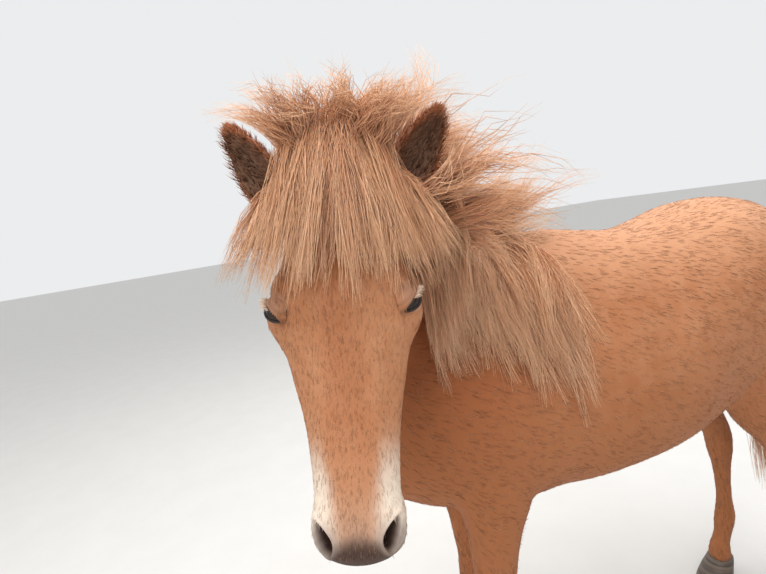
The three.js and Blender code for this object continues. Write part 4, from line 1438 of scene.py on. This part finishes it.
class HORSE_OT_skin(Maker, bpy.types.Operator):
    """Make the one skin of body, head and legs"""

    bl_idname = "horse.skin"
    bl_label = "Skin"

    def make(self, look):
        make_skin(look)


class HORSE_OT_eyes(Maker, bpy.types.Operator):
    """Make the eyes and the rims of the lids"""

    bl_idname = "horse.eyes"
    bl_label = "Eyes"

    def make(self, look):
        make_eyes(look)
        make_lashes(look, random_of("lashes"))


class HORSE_OT_ears(Maker, bpy.types.Operator):
    """Make the ears"""

    bl_idname = "horse.ears"
    bl_label = "Ears"

    def make(self, look):
        make_ears(look, random_of("ears"))


class HORSE_OT_hooves(Maker, bpy.types.Operator):
    """Make the hooves"""

    bl_idname = "horse.hooves"
    bl_label = "Hooves"

    def make(self, look):
        make_hooves(look)


class HORSE_OT_forelock(Maker, bpy.types.Operator):
    """Grow the forelock"""

    bl_idname = "horse.forelock"
    bl_label = "Forelock"

    def make(self, look):
        random = random_of("forelock")
        gather("forelock", forelock_bundles(random, skin_tree(), look), look, random)


class HORSE_OT_mane(Maker, bpy.types.Operator):
    """Grow the mane"""

    bl_idname = "horse.mane"
    bl_label = "Mane"

    def make(self, look):
        random = random_of("mane")
        gather("mane", mane_bundles(random, skin_tree(), look), look, random)


class HORSE_OT_tail(Maker, bpy.types.Operator):
    """Grow the tail"""

    bl_idname = "horse.tail"
    bl_label = "Tail"

    def make(self, look):
        random = random_of("tail_hair")
        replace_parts(gather("tail_hair", tail_bundles(random, look), look, random)[0], "tail")


class HORSE_OT_fur(Maker, bpy.types.Operator):
    """Grow the short coat's tufts"""

    bl_idname = "horse.fur"
    bl_label = "Short coat"

    def make(self, look):
        make_fur(look, bpy.data.objects["skin"], random_of("fur"))


class HORSE_OT_stage(Maker, bpy.types.Operator):
    """Make the floor, the lights and the camera"""

    bl_idname = "horse.stage"
    bl_label = "Stage"

    def make(self, look):
        make_stage()


MAKERS = (
    HORSE_OT_skin,
    HORSE_OT_eyes,
    HORSE_OT_ears,
    HORSE_OT_hooves,
    HORSE_OT_forelock,
    HORSE_OT_mane,
    HORSE_OT_tail,
    HORSE_OT_fur,
    HORSE_OT_stage,
)


class HORSE_PT_panel(bpy.types.Panel):
    """The pieces of the horse"""

    bl_label = "Horse"
    bl_idname = "HORSE_PT_panel"
    bl_space_type = "VIEW_3D"
    bl_region_type = "UI"
    bl_category = "Horse"

    def draw(self, context):
        for maker in MAKERS:
            self.layout.operator(maker.bl_idname)


CLASSES = (HorseLook, *MAKERS, HORSE_PT_panel)


def register():
    for cls in CLASSES:
        bpy.utils.register_class(cls)
    bpy.types.Scene.horse_look = PointerProperty(type=HorseLook)


def unregister():
    del bpy.types.Scene.horse_look
    for cls in reversed(CLASSES):
        bpy.utils.unregister_class(cls)


def main():
    register()
    bpy.ops.horse.skin()
    bpy.ops.horse.eyes()
    bpy.ops.horse.ears()
    bpy.ops.horse.hooves()
    bpy.ops.horse.forelock()
    bpy.ops.horse.mane()
    bpy.ops.horse.tail()
    bpy.ops.horse.fur()
    bpy.ops.horse.stage()


if __name__ == "__main__":
    main()
